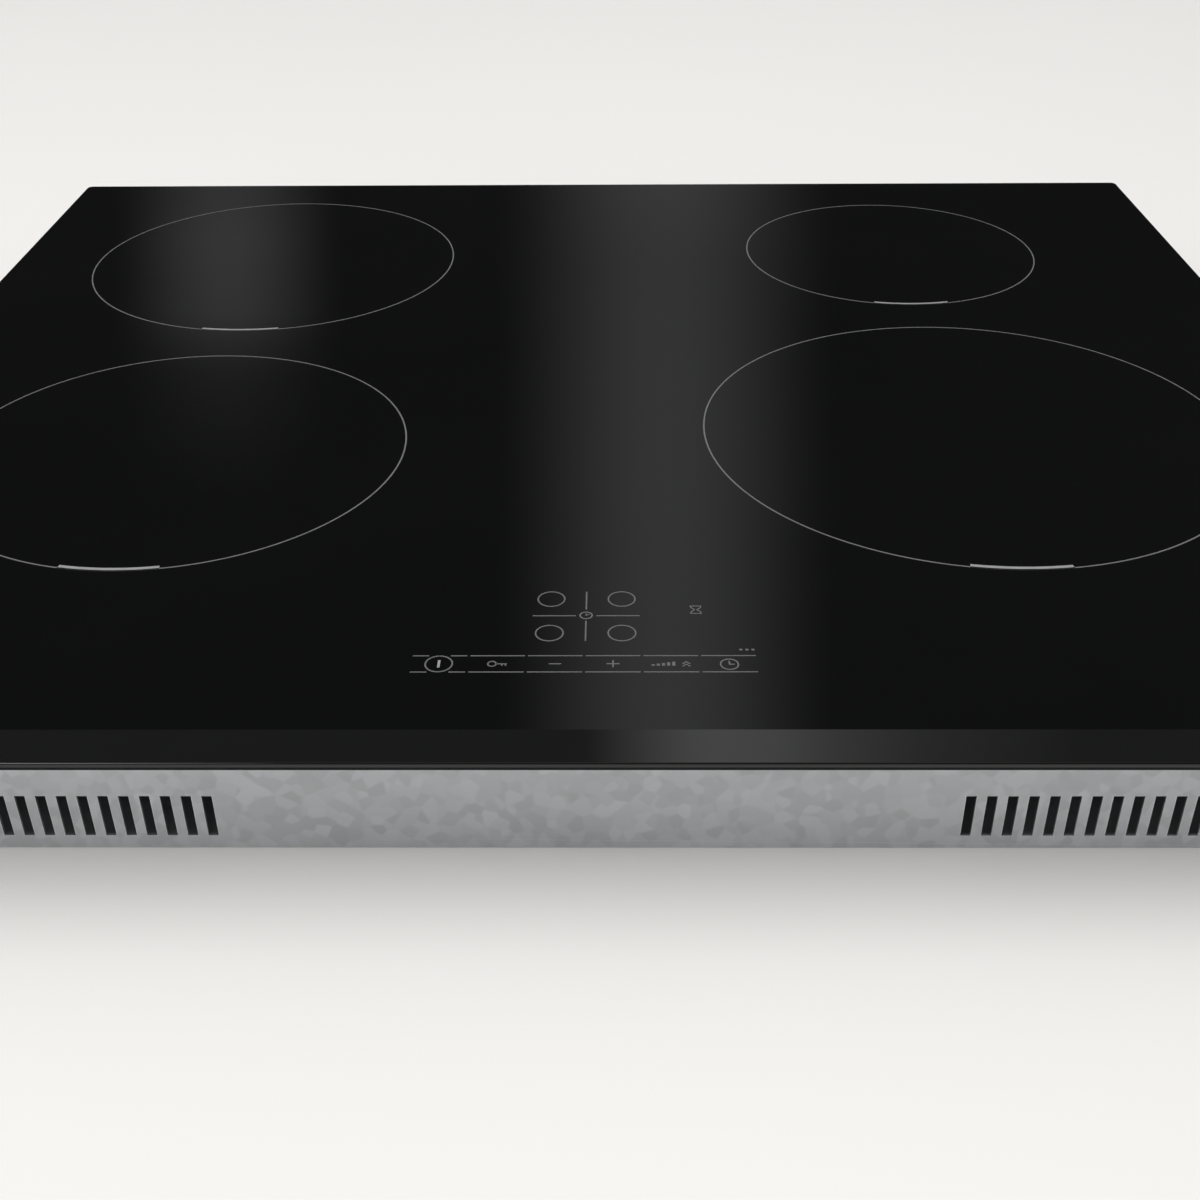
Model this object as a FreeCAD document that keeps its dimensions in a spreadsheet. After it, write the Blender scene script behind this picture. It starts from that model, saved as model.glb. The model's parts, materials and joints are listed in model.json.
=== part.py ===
"""Built-in induction hob, 592 x 522 mm, four cooking zones, as an assembly of separate pieces.

Frame: +X to the user's right, +Y to the back, +Z up. The origin lies under the centre of the glass
plate, at the level of the case's underside. All sizes are millimetres and live in the sheet "Sizes".
"""

import FreeCAD, Part
import Sketcher
import math
import os
import re

from FreeCAD import Placement, Rotation, Vector

SIZES = [
    # glass plate
    ("glass_width", 592), ("glass_depth", 522), ("glass_thick", 4), ("overall_height", 51),
    ("facet_run", 12.5), ("facet_drop", 2.6), ("glass_corner", 3), ("ground_edge", 0.6),
    # seal, bond and frame under the glass
    ("seal_thick", 1.2), ("seal_width", 9.7), ("seal_inset", 0.3), ("bond_thick", 1),
    ("bond_width", 8), ("bond_inset", 3), ("flange_width", 14), ("frame_leg", 20.5), ("frame_play", 0.1),
    # folded steel case
    ("case_width", 556), ("case_depth", 486), ("case_height", 44), ("sheet_gauge", 1),
    ("case_corner", 4), ("slot_wide", 3.2), ("slot_tall", 16), ("slot_pitch", 6.4), ("slot_low", 5),
    ("slot_count", 16), ("vent_offset", 165), ("bead_depth", 0.5), ("bead_wide", 8),
    # cooking zones
    ("front_left_dia", 180), ("front_left_x", -164), ("front_left_y", -70.5),
    ("rear_left_dia", 180), ("rear_left_x", -164), ("rear_left_y", 138),
    ("rear_right_dia", 145), ("rear_right_x", 149), ("rear_right_y", 149.5),
    ("front_right_dia", 210), ("front_right_x", 149), ("front_right_y", -55.5),
    # coil units
    ("bridge_top", 27), ("bridge_width", 538), ("bridge_depth", 468), ("carrier_base", 35.5),
    ("carrier_thick", 2), ("carrier_rim", 1.5), ("winding_thick", 5), ("winding_inset", 5),
    ("winding_bore", 22), ("hub_outer", 9), ("hub_bore", 6.5), ("hub_low", 31), ("ferrite_high", 4),
    ("ferrite_wide", 8), ("felt_thick", 4.3), ("felt_bore", 7), ("ear_reach", 9), ("ear_wide", 14),
    ("ear_post", 2.5), ("ear_post_low", 30.6), ("spring_mean", 3.6), ("spring_wire", 0.4),
    ("spring_turns", 4), ("sensor_body", 6.3), ("sensor_tip", 4),
    # electronics
    ("board_x", 165), ("board_y", -70), ("tray_width", 176), ("tray_depth", 300), ("tray_low", 1.1),
    ("tray_wall", 1.5), ("tray_high", 8), ("board_low", 5.2), ("board_thick", 1.6),
    ("sink_width", 50), ("sink_length", 140), ("sink_base", 5), ("sink_high", 16), ("fin_thick", 1.8),
    ("fin_count", 9), ("sink_y", 5),
    # blowers
    ("blower_y", 165), ("scroll_radius", 43), ("scroll_wall", 1.5), ("scroll_low", 1.3),
    ("scroll_high", 22.4), ("duct_reach", 82), ("duct_width", 40), ("intake_radius", 26),
    ("wheel_radius", 34), ("wheel_low", 4.4), ("wheel_high", 15.6), ("blade_count", 28),
    ("blade_long", 9), ("blade_thick", 0.9), ("blade_angle", 32), ("cup_radius", 15),
    ("cup_wall", 1.4), ("shaft_radius", 1.5), ("stator_radius", 12), ("shaft_play", 0.05),
    # mains terminal box in the rear wall
    ("terminal_x", 54), ("terminal_width", 88), ("terminal_depth", 58), ("terminal_low", 2),
    ("terminal_high", 23), ("terminal_wall", 2), ("hatch_x", 43), ("hatch_width", 56),
    ("hatch_high", 18), ("cover_thick", 1.6), ("hinge_y", 244.2), ("hinge_z", 4.4),
    ("hinge_barrel", 1.4), ("hinge_pin", 0.8), ("hinge_play", 0.05), ("gland_x", 84),
    ("gland_z", 13.5), ("gland_bore", 6.2), ("gland_body", 8), ("gland_flange", 10),
    # touch control under the front of the glass
    ("control_y", -204), ("control_width", 150), ("control_depth", 60), ("control_floor", 38),
    ("control_wall", 1.5), ("control_board_low", 41), ("key_row_x", -1.35), ("key_row_y", -215.5),
    ("key_pitch", 18.03), ("selector_x", -1.1), ("selector_y", -188.6), ("selector_dx", 11.6),
    ("selector_dy", 9.98),
    # enamel printed on the glass
    ("print_thick", 0.04), ("ring_line", 0.6), ("mark_wide", 2.2), ("mark_long", 35.4), ("key_line", 0.5),
    ("key_gap", 0.95), ("key_row_deep", 8.65), ("power_radius", 4.2), ("selector_radius", 4.4),
    # side clips
    ("clip_y", 20), ("clip_width", 40), ("clip_gauge", 0.6), ("clip_low", 6), ("clip_fold", 18.8),
    ("clip_reach", 15), ("clip_lean", 11),
    # screws
    ("screw_head", 3.2), ("screw_head_high", 1.8), ("screw_shank", 1.45), ("screw_long", 7),
    ("screw_hole", 1.6), ("screw_z", 35), ("screw_along_y", 170), ("screw_along_x", 190),
    # wiring
    ("lead_radius", 1), ("lead_z", 24.85), ("lead_end_z", 28), ("lead_apart", 14), ("lead_hole", 4),
    ("core_radius", 1.2), ("core_z", 12), ("control_lead_x", 60),
]

COILS = ("front_left", "rear_left", "rear_right", "front_right")
SIDES = (("left", -1), ("right", 1))
EARS = 3
FERRITES = 8
POLES = range(-2, 3)

doc = FreeCAD.newDocument("induction_hob")
sheet = doc.addObject("Spreadsheet::Sheet", "Sizes")
for row, (alias, value) in enumerate(SIZES, start=1):
    sheet.set(f"A{row}", alias)
    sheet.set(f"B{row}", str(value))
    sheet.setAlias(f"B{row}", alias)
doc.recompute()

ALIASES = {alias for alias, value in SIZES}
PARTS = []


def size(alias):
    """The number in the sheet's cell of that name."""
    return float(sheet.get(alias))


def expression(text):
    """Text with each cell's alias written the way FreeCAD's expressions name it."""
    return re.sub(r"[a-z_]+", lambda m: "Sizes." + m[0] if m[0] in ALIASES else m[0], str(text))


def bind(obj, **properties):
    """Binds properties to expressions over the sheet; x, y and z are the place."""
    for name, text in properties.items():
        path = f"Placement.Base.{name}" if name in "xyz" else name
        obj.setExpression(path, expression(text))
    return obj


def keep(obj, label):
    """Marks obj as the sub-part of that name."""
    obj.Label = label
    PARTS.append(obj)
    return obj


# ---- Part primitives and booleans ----

def box(wide, deep, high, x=0, y=0, z=0):
    """A box centred on x and y that stands on z."""
    obj = doc.addObject("Part::Box", "Box")
    bind(obj, Length=wide, Width=deep, Height=high)
    return bind(obj, x=f"{x} - ({wide}) / 2", y=f"{y} - ({deep}) / 2", z=z)


TURNS = {"z": Rotation(), "x": Rotation(Vector(0, 1, 0), 90), "y": Rotation(Vector(1, 0, 0), -90)}


def cylinder(radius, high, x=0, y=0, z=0, along="z"):
    """A cylinder that starts at x, y, z and runs along +z, +x or +y."""
    obj = doc.addObject("Part::Cylinder", "Cylinder")
    obj.Placement = Placement(Vector(), TURNS[along])
    return bind(obj, Radius=radius, Height=high, x=x, y=y, z=z)


def fuse(*shapes):
    obj = doc.addObject("Part::MultiFuse", "Fusion")
    obj.Shapes = list(shapes)
    return obj


def cut(base, *tools):
    obj = doc.addObject("Part::Cut", "Cut")
    obj.Base = base
    obj.Tool = tools[0] if len(tools) == 1 else fuse(*tools)
    return obj


def copies(source, places):
    """Source's shape at each place, as a group of separate solids."""
    doc.recompute()
    group = []
    for place in places:
        shape = source.Shape.copy()
        shape.Placement = place.multiply(shape.Placement)
        group.append(shape)
    obj = doc.addObject("Part::Feature", "Group")
    obj.Shape = Part.makeCompound([solid for shape in group for solid in shape.Solids])
    return obj


def at(x=0, y=0, z=0, angle=0, axis=(0, 0, 1)):
    return Placement(Vector(x, y, z), Rotation(Vector(*axis), angle))


def around(count, start=0):
    """Places turned about Z in equal steps."""
    return [at(angle=start + 360 * k / count) for k in range(count)]


# ---- wires ----

def lead(points, radius, bend):
    """A wire along straight runs joined by arcs tangent to both."""
    edges = []
    start = points[0]
    for before, corner, after in zip(points, points[1:], points[2:]):
        into, out = (corner - before).normalize(), (after - corner).normalize()
        half = into.getAngle(out) / 2
        enter = corner - into * bend * math.tan(half)
        leave = corner + out * bend * math.tan(half)
        middle = corner + (out - into).normalize() * bend * (1 / math.cos(half) - 1)
        edges += [Part.LineSegment(start, enter).toShape(), Part.Arc(enter, middle, leave).toShape()]
        start = leave
    edges.append(Part.LineSegment(start, points[-1]).toShape())
    path = Part.Wire(edges)
    first = (points[1] - points[0]).normalize()
    section = Part.Wire(Part.makeCircle(radius, points[0], first))
    return path.makePipeShell([section], True, False)


def coiled_wire(radius, wire, turns, low, rise):
    """A spring's wire, along an eight-sided helix whose corners are rounded until it is a coil."""
    corners = 8 * turns
    reach = radius / math.cos(math.pi / 8)
    path = [
        Vector(
            reach * math.cos(math.pi * k / 4), reach * math.sin(math.pi * k / 4), low + rise * k / corners
        )
        for k in range(corners + 1)
    ]
    obj = doc.addObject("Part::Feature", "Coil")
    obj.Shape = lead(path, wire, 0.9 * radius)
    return obj


# ---- PartDesign bodies ----

def new_body(label):
    return keep(doc.addObject("PartDesign::Body", label), label)


def origin_of(body, role):
    return next(f for f in body.Origin.OriginFeatures if f.Role == role)


def new_sketch(body, plane="XY_Plane", lift=0, x=0, y=0):
    """A sketch on one of the body's origin planes, moved along its own axes."""
    sketch = body.newObject("Sketcher::SketchObject", "Sketch")
    sketch.AttachmentSupport = (origin_of(body, plane), [""])
    sketch.MapMode = "FlatFace"
    for axis, text in (("x", x), ("y", y), ("z", lift)):
        sketch.setExpression(f"AttachmentOffset.Base.{axis}", expression(text))
    return sketch


def dimension(sketch, constraint, text):
    index = sketch.addConstraint(constraint)
    name = f"size{index}"
    sketch.renameConstraint(index, name)
    sketch.setExpression(f"Constraints.{name}", expression(text))


def rectangle(sketch, wide, deep):
    """A rectangle centred on the sketch's origin."""
    first = sketch.GeometryCount
    corners = [Vector(-9, -9, 0), Vector(9, -9, 0), Vector(9, 9, 0), Vector(-9, 9, 0)]
    for k in range(4):
        sketch.addGeometry(Part.LineSegment(corners[k], corners[(k + 1) % 4]), False)
    rule = Sketcher.Constraint
    for k in range(4):
        sketch.addConstraint(rule("Coincident", first + k, 2, first + (k + 1) % 4, 1))
        sketch.addConstraint(rule(("Horizontal", "Vertical")[k % 2], first + k))
    sketch.addConstraint(rule("Symmetric", first, 1, first + 1, 2, -1, 1))
    dimension(sketch, rule("DistanceX", first, 1, first, 2, 18), wide)
    dimension(sketch, rule("DistanceY", first + 1, 1, first + 1, 2, 18), deep)


def circle(sketch, radius):
    """A circle about the sketch's origin."""
    index = sketch.GeometryCount
    sketch.addGeometry(Part.Circle(Vector(), Vector(0, 0, 1), 5), False)
    sketch.addConstraint(Sketcher.Constraint("Coincident", index, 3, -1, 1))
    dimension(sketch, Sketcher.Constraint("Radius", index, 5), radius)


def grow(body, sketch, length):
    pad = body.newObject("PartDesign::Pad", "Pad")
    pad.Profile = sketch
    return bind(pad, Length=length)


def carve(body, sketch, length=None, upward=True):
    """A pocket; upward cuts towards the sketch's normal, and no length cuts through all."""
    pocket = body.newObject("PartDesign::Pocket", "Pocket")
    pocket.Profile = sketch
    pocket.Reversed = upward
    if length is None:
        pocket.Type = 1
        pocket.Midplane = True
        return pocket
    return bind(pocket, Length=length)


def repeat_around(body, feature, count):
    pattern = body.newObject("PartDesign::PolarPattern", "PolarPattern")
    pattern.Originals = [feature]
    pattern.Axis = (origin_of(body, "Z_Axis"), [""])
    pattern.Angle = 360
    bind(pattern, Occurrences=count)
    body.Tip = pattern
    return pattern


def repeat_along(body, feature, role, length, count):
    pattern = body.newObject("PartDesign::LinearPattern", "LinearPattern")
    pattern.Originals = [feature]
    pattern.Direction = (origin_of(body, role), [""])
    bind(pattern, Length=length, Occurrences=count)
    body.Tip = pattern
    return pattern


def edges_where(feature, test):
    """Names of the feature's edges whose midpoint and direction pass the test."""
    doc.recompute()
    names = []
    for k, edge in enumerate(feature.Shape.Edges, start=1):
        middle = edge.valueAt((edge.FirstParameter + edge.LastParameter) / 2)
        if test(middle, edge.tangentAt(edge.FirstParameter)):
            names.append(f"Edge{k}")
    return names


def dress(body, kind, base, names, amount):
    """A Fillet or Chamfer on the named edges."""
    obj = body.newObject(f"PartDesign::{kind}", kind)
    obj.Base = (base, names)
    return bind(obj, **{"Radius" if kind == "Fillet" else "Size": amount})


def upright(middle, along):
    return abs(along.z) > 0.9


# ---- glass plate and what holds it ----

GLASS_LOW = "(overall_height - glass_thick)"
FRAME_WIDTH = "(case_width - 2 * sheet_gauge - 2 * frame_play)"
FRAME_DEPTH = "(case_depth - 2 * sheet_gauge - 2 * frame_play)"


def ring_body(label, low, high, outer, inner):
    """A rectangular frame: outer and inner are (width, depth)."""
    body = new_body(label)
    sketch = new_sketch(body, lift=low)
    rectangle(sketch, *outer)
    rectangle(sketch, *inner)
    grow(body, sketch, high)
    return body


def glass_top():
    """The glass-ceramic plate, with a long facet ground along its front edge."""
    body = new_body("glass_top")
    outline = new_sketch(body, lift=GLASS_LOW)
    rectangle(outline, "glass_width", "glass_depth")
    plate = grow(body, outline, "glass_thick")
    dress(body, "Fillet", plate, edges_where(plate, upright), "glass_corner")
    doc.recompute()
    side = new_sketch(body, "YZ_Plane")
    front, top = -size("glass_depth") / 2, size("overall_height")
    spots = [Vector(front, top - 1, 0), Vector(front + 9, top, 0), Vector(front, top, 0)]
    for k in range(3):
        side.addGeometry(Part.LineSegment(spots[k], spots[(k + 1) % 3]), False)
    rule = Sketcher.Constraint
    for k in range(3):
        side.addConstraint(rule("Coincident", k, 2, (k + 1) % 3, 1))
    side.addConstraint(rule("Horizontal", 1))
    side.addConstraint(rule("Vertical", 2))
    dimension(side, rule("DistanceX", 2, 1, 1, 1, 9), "facet_run")
    dimension(side, rule("DistanceY", 2, 2, 2, 1, 1), "facet_drop")
    dimension(side, rule("DistanceX", 2, 1, -1, 1, 261), "glass_depth / 2")
    dimension(side, rule("DistanceY", -1, 1, 2, 1, 51), "overall_height")
    facet = carve(body, side)
    low = top - size("glass_thick") + 0.1
    ridge = front + size("facet_run")

    def rim(middle, along):
        on_ridge = abs(middle.y - ridge) < 0.01 and abs(along.x) > 0.9
        return middle.z > low and abs(along.z) < 0.9 and not on_ridge

    dress(body, "Fillet", facet, edges_where(facet, rim), "ground_edge")


def print_ring(radius, x, y, line):
    """A thin printed circle that lies on the glass."""
    outer = cylinder(f"{radius} + ({line}) / 2", "print_thick", x, y, "overall_height")
    return cut(outer, cylinder(f"{radius} - ({line}) / 2", "print_thick", x, y, "overall_height"))


def print_line(wide, deep, x, y):
    return box(wide, deep, "print_thick", x, y, "overall_height")


def zone_mark(name):
    """The short thick arc inside the front of a zone's circle."""
    radius = f"({name}_dia / 2 + ring_line / 2 - mark_wide / 2)"
    arc = print_ring(radius, f"{name}_x", f"{name}_y", "mark_wide")
    front = box("mark_long", 30, 2, f"{name}_x", f"{name}_y - {name}_dia / 2", "overall_height - 1")
    mark = doc.addObject("Part::Common", "Common")
    mark.Base, mark.Tool = arc, front
    return mark


def glass_print():
    """The enamel printed on the glass: the zones, and the outlines of the touch control."""
    pieces = []
    for name in COILS:
        pieces += [print_ring(f"{name}_dia / 2", f"{name}_x", f"{name}_y", "ring_line"), zone_mark(name)]
    row, zones = key_places()
    for rule_y in ("key_row_y - key_row_deep / 2", "key_row_y + key_row_deep / 2"):
        pieces += [print_line("key_pitch - key_gap", "key_line", x, rule_y) for x, y in row[1:]]
    pieces.append(print_ring("power_radius", row[0][0], "key_row_y", "key_line"))
    pieces += [print_ring("selector_radius", x, y, "key_line") for x, y in zones]
    keep(fuse(*pieces), "glass_print")


def worktop_seal():
    """The foam strip that lies between the glass and the worktop."""
    outer = [f"{side} - 2 * seal_inset" for side in ("glass_width", "glass_depth")]
    inner = [f"{side} - 2 * seal_width" for side in outer]
    body = ring_body("worktop_seal", f"{GLASS_LOW} - seal_thick", "seal_thick", outer, inner)
    within = size("glass_width") / 2 - size("seal_width")

    def corner(middle, along):
        return upright(middle, along) and abs(middle.x) > within

    dress(body, "Fillet", body.Tip, edges_where(body.Tip, corner), "glass_corner - seal_inset")


def glass_bond():
    """The silicone bead that glues the frame's flange to the glass."""
    outer = [f"{side} - 2 * bond_inset" for side in (FRAME_WIDTH, FRAME_DEPTH)]
    inner = [f"{side} - 2 * bond_width" for side in outer]
    ring_body("glass_bond", f"{GLASS_LOW} - bond_thick", "bond_thick", outer, inner)


def wall_screws():
    """Places of the screws through the case's four walls: point on the wall, and turn about Z."""
    side_x, side_y = size("case_width") / 2, size("case_depth") / 2
    along_x, along_y = size("screw_along_x"), size("screw_along_y")
    z = size("screw_z")
    places = []
    for s in (-1, 1):
        places += [(Vector(side_x, s * along_y, z), 0), (Vector(-side_x, s * along_y, z), 180)]
        places += [(Vector(s * along_x, side_y, z), 90), (Vector(s * along_x, -side_y, z), 270)]
    return [Placement(point, Rotation(Vector(0, 0, 1), turn)) for point, turn in places]


def screw_holes(radius):
    """Cylinders through the case's walls at every wall screw."""
    return copies(cylinder(radius, 12, x=-6, along="x"), wall_screws())


def glass_frame():
    """The steel frame glued under the glass; its legs slip inside the case's walls."""
    top = f"{GLASS_LOW} - bond_thick"
    inside = [f"{side} - 2 * sheet_gauge" for side in (FRAME_WIDTH, FRAME_DEPTH)]
    hole = [f"{side} - 2 * flange_width" for side in (FRAME_WIDTH, FRAME_DEPTH)]
    outer = box(FRAME_WIDTH, FRAME_DEPTH, "frame_leg", z=f"{top} - frame_leg")
    under = box(*inside, "frame_leg", z=f"{top} - frame_leg - sheet_gauge")
    middle = box(*hole, "frame_leg", z=f"{top} - frame_leg + sheet_gauge")
    corners = [
        box(8, 8, "frame_leg - sheet_gauge", f"{i} * {FRAME_WIDTH} / 2", f"{j} * {FRAME_DEPTH} / 2",
            f"{top} - frame_leg") for i in (-1, 1) for j in (-1, 1)
    ]
    keep(cut(outer, under, middle, screw_holes("screw_shank + 0.05"), *corners), "glass_frame")


def screw(long="screw_long"):
    """A pan-head screw with a cross recess; its seat is at the origin and its shank runs along -X."""
    head = cylinder("screw_head", "screw_head_high", along="x")
    shank = cylinder("screw_shank", long, x=f"-({long})", along="x")
    cross = [box(2, a, b, x="screw_head_high", z=f"-({b}) / 2") for a, b in ((3.4, 0.7), (0.7, 3.4))]
    return cut(fuse(head, shank), *cross)


def frame_screws():
    keep(copies(screw(), wall_screws()), "frame_screws")


# ---- case ----

def intake_slots():
    """Two rings of radial slots under each blower."""
    rings = ((12, 9.5, 7), (24, 20.5, 9))
    tools = []
    for name, side in SIDES:
        place = at(side * size("board_x"), size("blower_y"))
        for count, middle, long in rings:
            slot = box(long, 2.4, 4, x=middle, z=-2)
            tools.append(copies(slot, [place.multiply(turn) for turn in around(count)]))
    return tools


def base_pan():
    """The folded and galvanised steel case, open at the top, with its vents."""
    body = new_body("case_blank")
    outline = new_sketch(body)
    rectangle(outline, "case_width", "case_depth")
    block = grow(body, outline, "case_height")
    rounded = dress(body, "Fillet", block, edges_where(block, upright), "case_corner")
    doc.recompute()
    faces = rounded.Shape.Faces
    top = max(range(len(faces)), key=lambda k: faces[k].CenterOfMass.z)
    shell = body.newObject("PartDesign::Thickness", "Thickness")
    shell.Base = (rounded, [f"Face{top + 1}"])
    shell.Reversed = True
    bind(shell, Value="sheet_gauge")
    doc.recompute()
    for name, side in SIDES:
        slot = new_sketch(
            body, "XZ_Plane", lift="case_depth / 2 - 3",
            x=f"{side} * vent_offset - (slot_count - 1) * slot_pitch / 2", y="slot_low + slot_tall / 2",
        )
        rectangle(slot, "slot_wide", "slot_tall")
        vent = carve(body, slot, 5)
        repeat_along(body, vent, "X_Axis", "(slot_count - 1) * slot_pitch", "slot_count")
    for x in (-80, 0, 80):
        bead = new_sketch(body, x=x)
        rectangle(bead, "bead_wide", "case_depth - 90")
        carve(body, bead, "bead_depth")
    PARTS.remove(body)
    window = box("terminal_width + 0.4", 6, "terminal_high + 0.4", "terminal_x", "case_depth / 2",
                 "terminal_low - 0.2")
    clip_holes = cylinder("screw_hole", "case_width + 10", "-case_width / 2 - 5", "clip_y",
                          "clip_low + 6", "x")
    keep(cut(body, window, clip_holes, screw_holes("screw_hole"), *intake_slots()), "base_pan")


def rating_label():
    """The type plate's blank foil, on the rear wall."""
    keep(box(70, 0.2, 22, -165, "case_depth / 2 + 0.1", 7), "rating_label")


# ---- coil units ----

def coil_radius(name):
    return f"({name}_dia / 2 - winding_inset)"


def placed(obj, name):
    return bind(obj, x=f"{name}_x", y=f"{name}_y")


def ear_angles(name):
    """The ears point away from the hob's middle and its edges."""
    return around(EARS, 30 if name.startswith("front") else 90)


def ear_sketch(body, lift, reach, angle):
    """A sketch at that distance from the hub, turned to face outward."""
    ear = new_sketch(body, lift=lift, x=f"{reach} * cos({angle})", y=f"{reach} * sin({angle})")
    ear.setExpression("AttachmentOffset.Rotation.Angle", f"{angle}")
    return ear


def coil_carrier(name):
    """The moulded dish that holds the winding, with a hub for the sensor and three sprung ears."""
    rim = f"({coil_radius(name)} + 1 + carrier_rim)"
    dish_top = "winding_thick + carrier_thick"
    body = new_body(f"coil_carrier_{name}")
    base = new_sketch(body, lift="carrier_base")
    circle(base, rim)
    circle(base, "hub_bore")
    grow(body, base, "carrier_thick")
    wall = new_sketch(body, lift="carrier_base")
    circle(wall, rim)
    circle(wall, f"{rim} - carrier_rim")
    grow(body, wall, dish_top)
    hub = new_sketch(body, lift="hub_low")
    circle(hub, "hub_outer")
    circle(hub, "hub_bore")
    grow(body, hub, f"carrier_base - hub_low + {dish_top}")
    angle = math.degrees(ear_angles(name)[0].Rotation.Angle)
    ear = ear_sketch(body, "carrier_base", f"({rim} + (ear_reach - 6) / 2 + 0.5)", angle)
    rectangle(ear, "ear_reach + 6", "ear_wide")
    repeat_around(body, grow(body, ear, "carrier_thick"), EARS)
    post = ear_sketch(body, "ear_post_low", f"({rim} + ear_reach / 2 + 0.5)", angle)
    circle(post, "ear_post")
    repeat_around(body, grow(body, post, "carrier_base - ear_post_low"), EARS)
    span = f"({coil_radius(name)} - winding_bore - 12)"
    middle = f"(winding_bore + 6 + {span} / 2)"
    window = ear_sketch(body, "carrier_base", middle, 180 / FERRITES)
    rectangle(window, span, 7)
    repeat_around(body, carve(body, window, "carrier_thick"), FERRITES)
    placed(body, name)


def coil_winding(name):
    """The flat spiral of litz wire, as one ring with rounded rims."""
    low = "carrier_base + carrier_thick"
    ring = cut(cylinder(coil_radius(name), "winding_thick", z=low),
               cylinder("winding_bore", "winding_thick", z=low))
    keep(placed(ring, name), f"coil_winding_{name}")


def ferrite_bars(name):
    """Eight bars under the carrier that guide the field upward."""
    span = f"({coil_radius(name)} - hub_outer - 8)"
    bar = box(span, "ferrite_wide", "ferrite_high", x=f"hub_outer + 4 + {span} / 2",
              z="carrier_base - ferrite_high")
    bars = copies(bar, around(FERRITES))
    bars.Placement = at(size(f"{name}_x"), size(f"{name}_y"))
    keep(bars, f"ferrite_bars_{name}")


def insulation_pad(name):
    """The ceramic-fibre disc between the winding and the glass."""
    low = "carrier_base + carrier_thick + winding_thick"
    pad = cut(cylinder(f"{coil_radius(name)} + 0.5", "felt_thick", z=low),
              cylinder("hub_outer + 1", "felt_thick", z=low))
    keep(placed(pad, name), f"insulation_pad_{name}")


def temperature_sensor(name):
    """The sensor in its holder, which reaches up to the glass through the carrier's hub."""
    holder = cylinder("sensor_body", 9, z=33)
    collar = cylinder("hub_outer - 0.5", 1, z="carrier_base + carrier_thick + winding_thick")
    tip = cylinder("sensor_tip", 12.7, z=34)
    keep(placed(fuse(holder, collar, tip), name), f"temperature_sensor_{name}")


def coil_spring():
    """One compression spring, standing on the bridge under an ear."""
    low = size("bridge_top") + size("spring_wire") + 0.1
    rise = size("carrier_base") - 0.1 - size("spring_wire") - low
    return coiled_wire(size("spring_mean"), size("spring_wire"), int(size("spring_turns")), low, rise)


def coil_springs(name, spring):
    rim = size(f"{name}_dia") / 2 - size("winding_inset") + 1 + size("carrier_rim")
    reach = rim + size("ear_reach") / 2 + 0.5
    centre = at(size(f"{name}_x"), size(f"{name}_y"))
    places = [centre.multiply(turn).multiply(at(reach)) for turn in ear_angles(name)]
    keep(copies(spring, places), f"coil_springs_{name}")


def coil_bridge():
    """The aluminium plate that carries the coils and shields the electronics below."""
    body = new_body("coil_bridge")
    plate = new_sketch(body, lift="bridge_top - sheet_gauge")
    rectangle(plate, "bridge_width", "bridge_depth")
    grow(body, plate, "sheet_gauge")
    for name, side in SIDES:
        leg = new_sketch(body, lift="sheet_gauge", x=f"{side} * (bridge_width - sheet_gauge) / 2")
        rectangle(leg, "sheet_gauge", "bridge_depth - 120")
        grow(body, leg, "bridge_top - sheet_gauge")
    for name in COILS:
        for step in (-1, 1):
            hole = new_sketch(body, lift="bridge_top - sheet_gauge",
                              x=f"{name}_x + {step} * lead_apart", y=f"{name}_y")
            circle(hole, "lead_hole")
            carve(body, hole, "sheet_gauge")
    hole = new_sketch(body, lift="bridge_top - sheet_gauge", x="control_lead_x", y="control_y")
    circle(hole, "lead_hole")
    carve(body, hole, "sheet_gauge")


# ---- electronics ----

def mirrored_x(side, text):
    return f"{side} * ({text})"


def board_tray(side):
    """The plastic tray that keeps a board off the steel case."""
    x = mirrored_x(side, "board_x")
    outer = box("tray_width", "tray_depth", "tray_high", x, "board_y", "tray_low")
    inner = box("tray_width - 2 * tray_wall", "tray_depth - 2 * tray_wall", "tray_high", x, "board_y",
                "tray_low + tray_wall")
    posts = [
        cylinder(4, "board_low - tray_low", f"{x} + {i} * (tray_width / 2 - 9)",
                 f"board_y + {j} * (tray_depth / 2 - 9)", "tray_low")
        for i in (-1, 1) for j in (-1, 1)
    ]
    return fuse(cut(outer, inner), *posts)


def board_trays():
    copies_of("board_trays", board_tray(-1), board_tray(1))


def inverter_board(name, side):
    """The circuit board that drives the two coils of one side."""
    x = mirrored_x(side, "board_x")
    blank = box("tray_width - 2 * tray_wall - 1", "tray_depth - 2 * tray_wall - 1", "board_thick", x,
                "board_y", "board_low")
    holes = [
        cylinder(1.7, 6, f"{x} + {i} * (tray_width / 2 - 9)", f"board_y + {j} * (tray_depth / 2 - 9)",
                 "board_low - 2")
        for i in (-1, 1) for j in (-1, 1)
    ]
    keep(cut(blank, *holes), f"inverter_board_{name}")


BOARD_TOP = "(board_low + board_thick)"


def heat_sink(name, side):
    """The finned aluminium extrusion in the blower's stream."""
    body = new_body(f"heat_sink_{name}")
    base = new_sketch(body, lift=BOARD_TOP)
    rectangle(base, "sink_width", "sink_length")
    grow(body, base, "sink_base")
    fin = new_sketch(body, lift=f"{BOARD_TOP} + sink_base", x="-(sink_width - fin_thick) / 2")
    rectangle(fin, "fin_thick", "sink_length")
    blade = grow(body, fin, "sink_high - sink_base")
    repeat_along(body, blade, "X_Axis", "sink_width - fin_thick", "fin_count")
    bind(body, x=mirrored_x(side, "board_x + 8"), y="sink_y")


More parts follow.
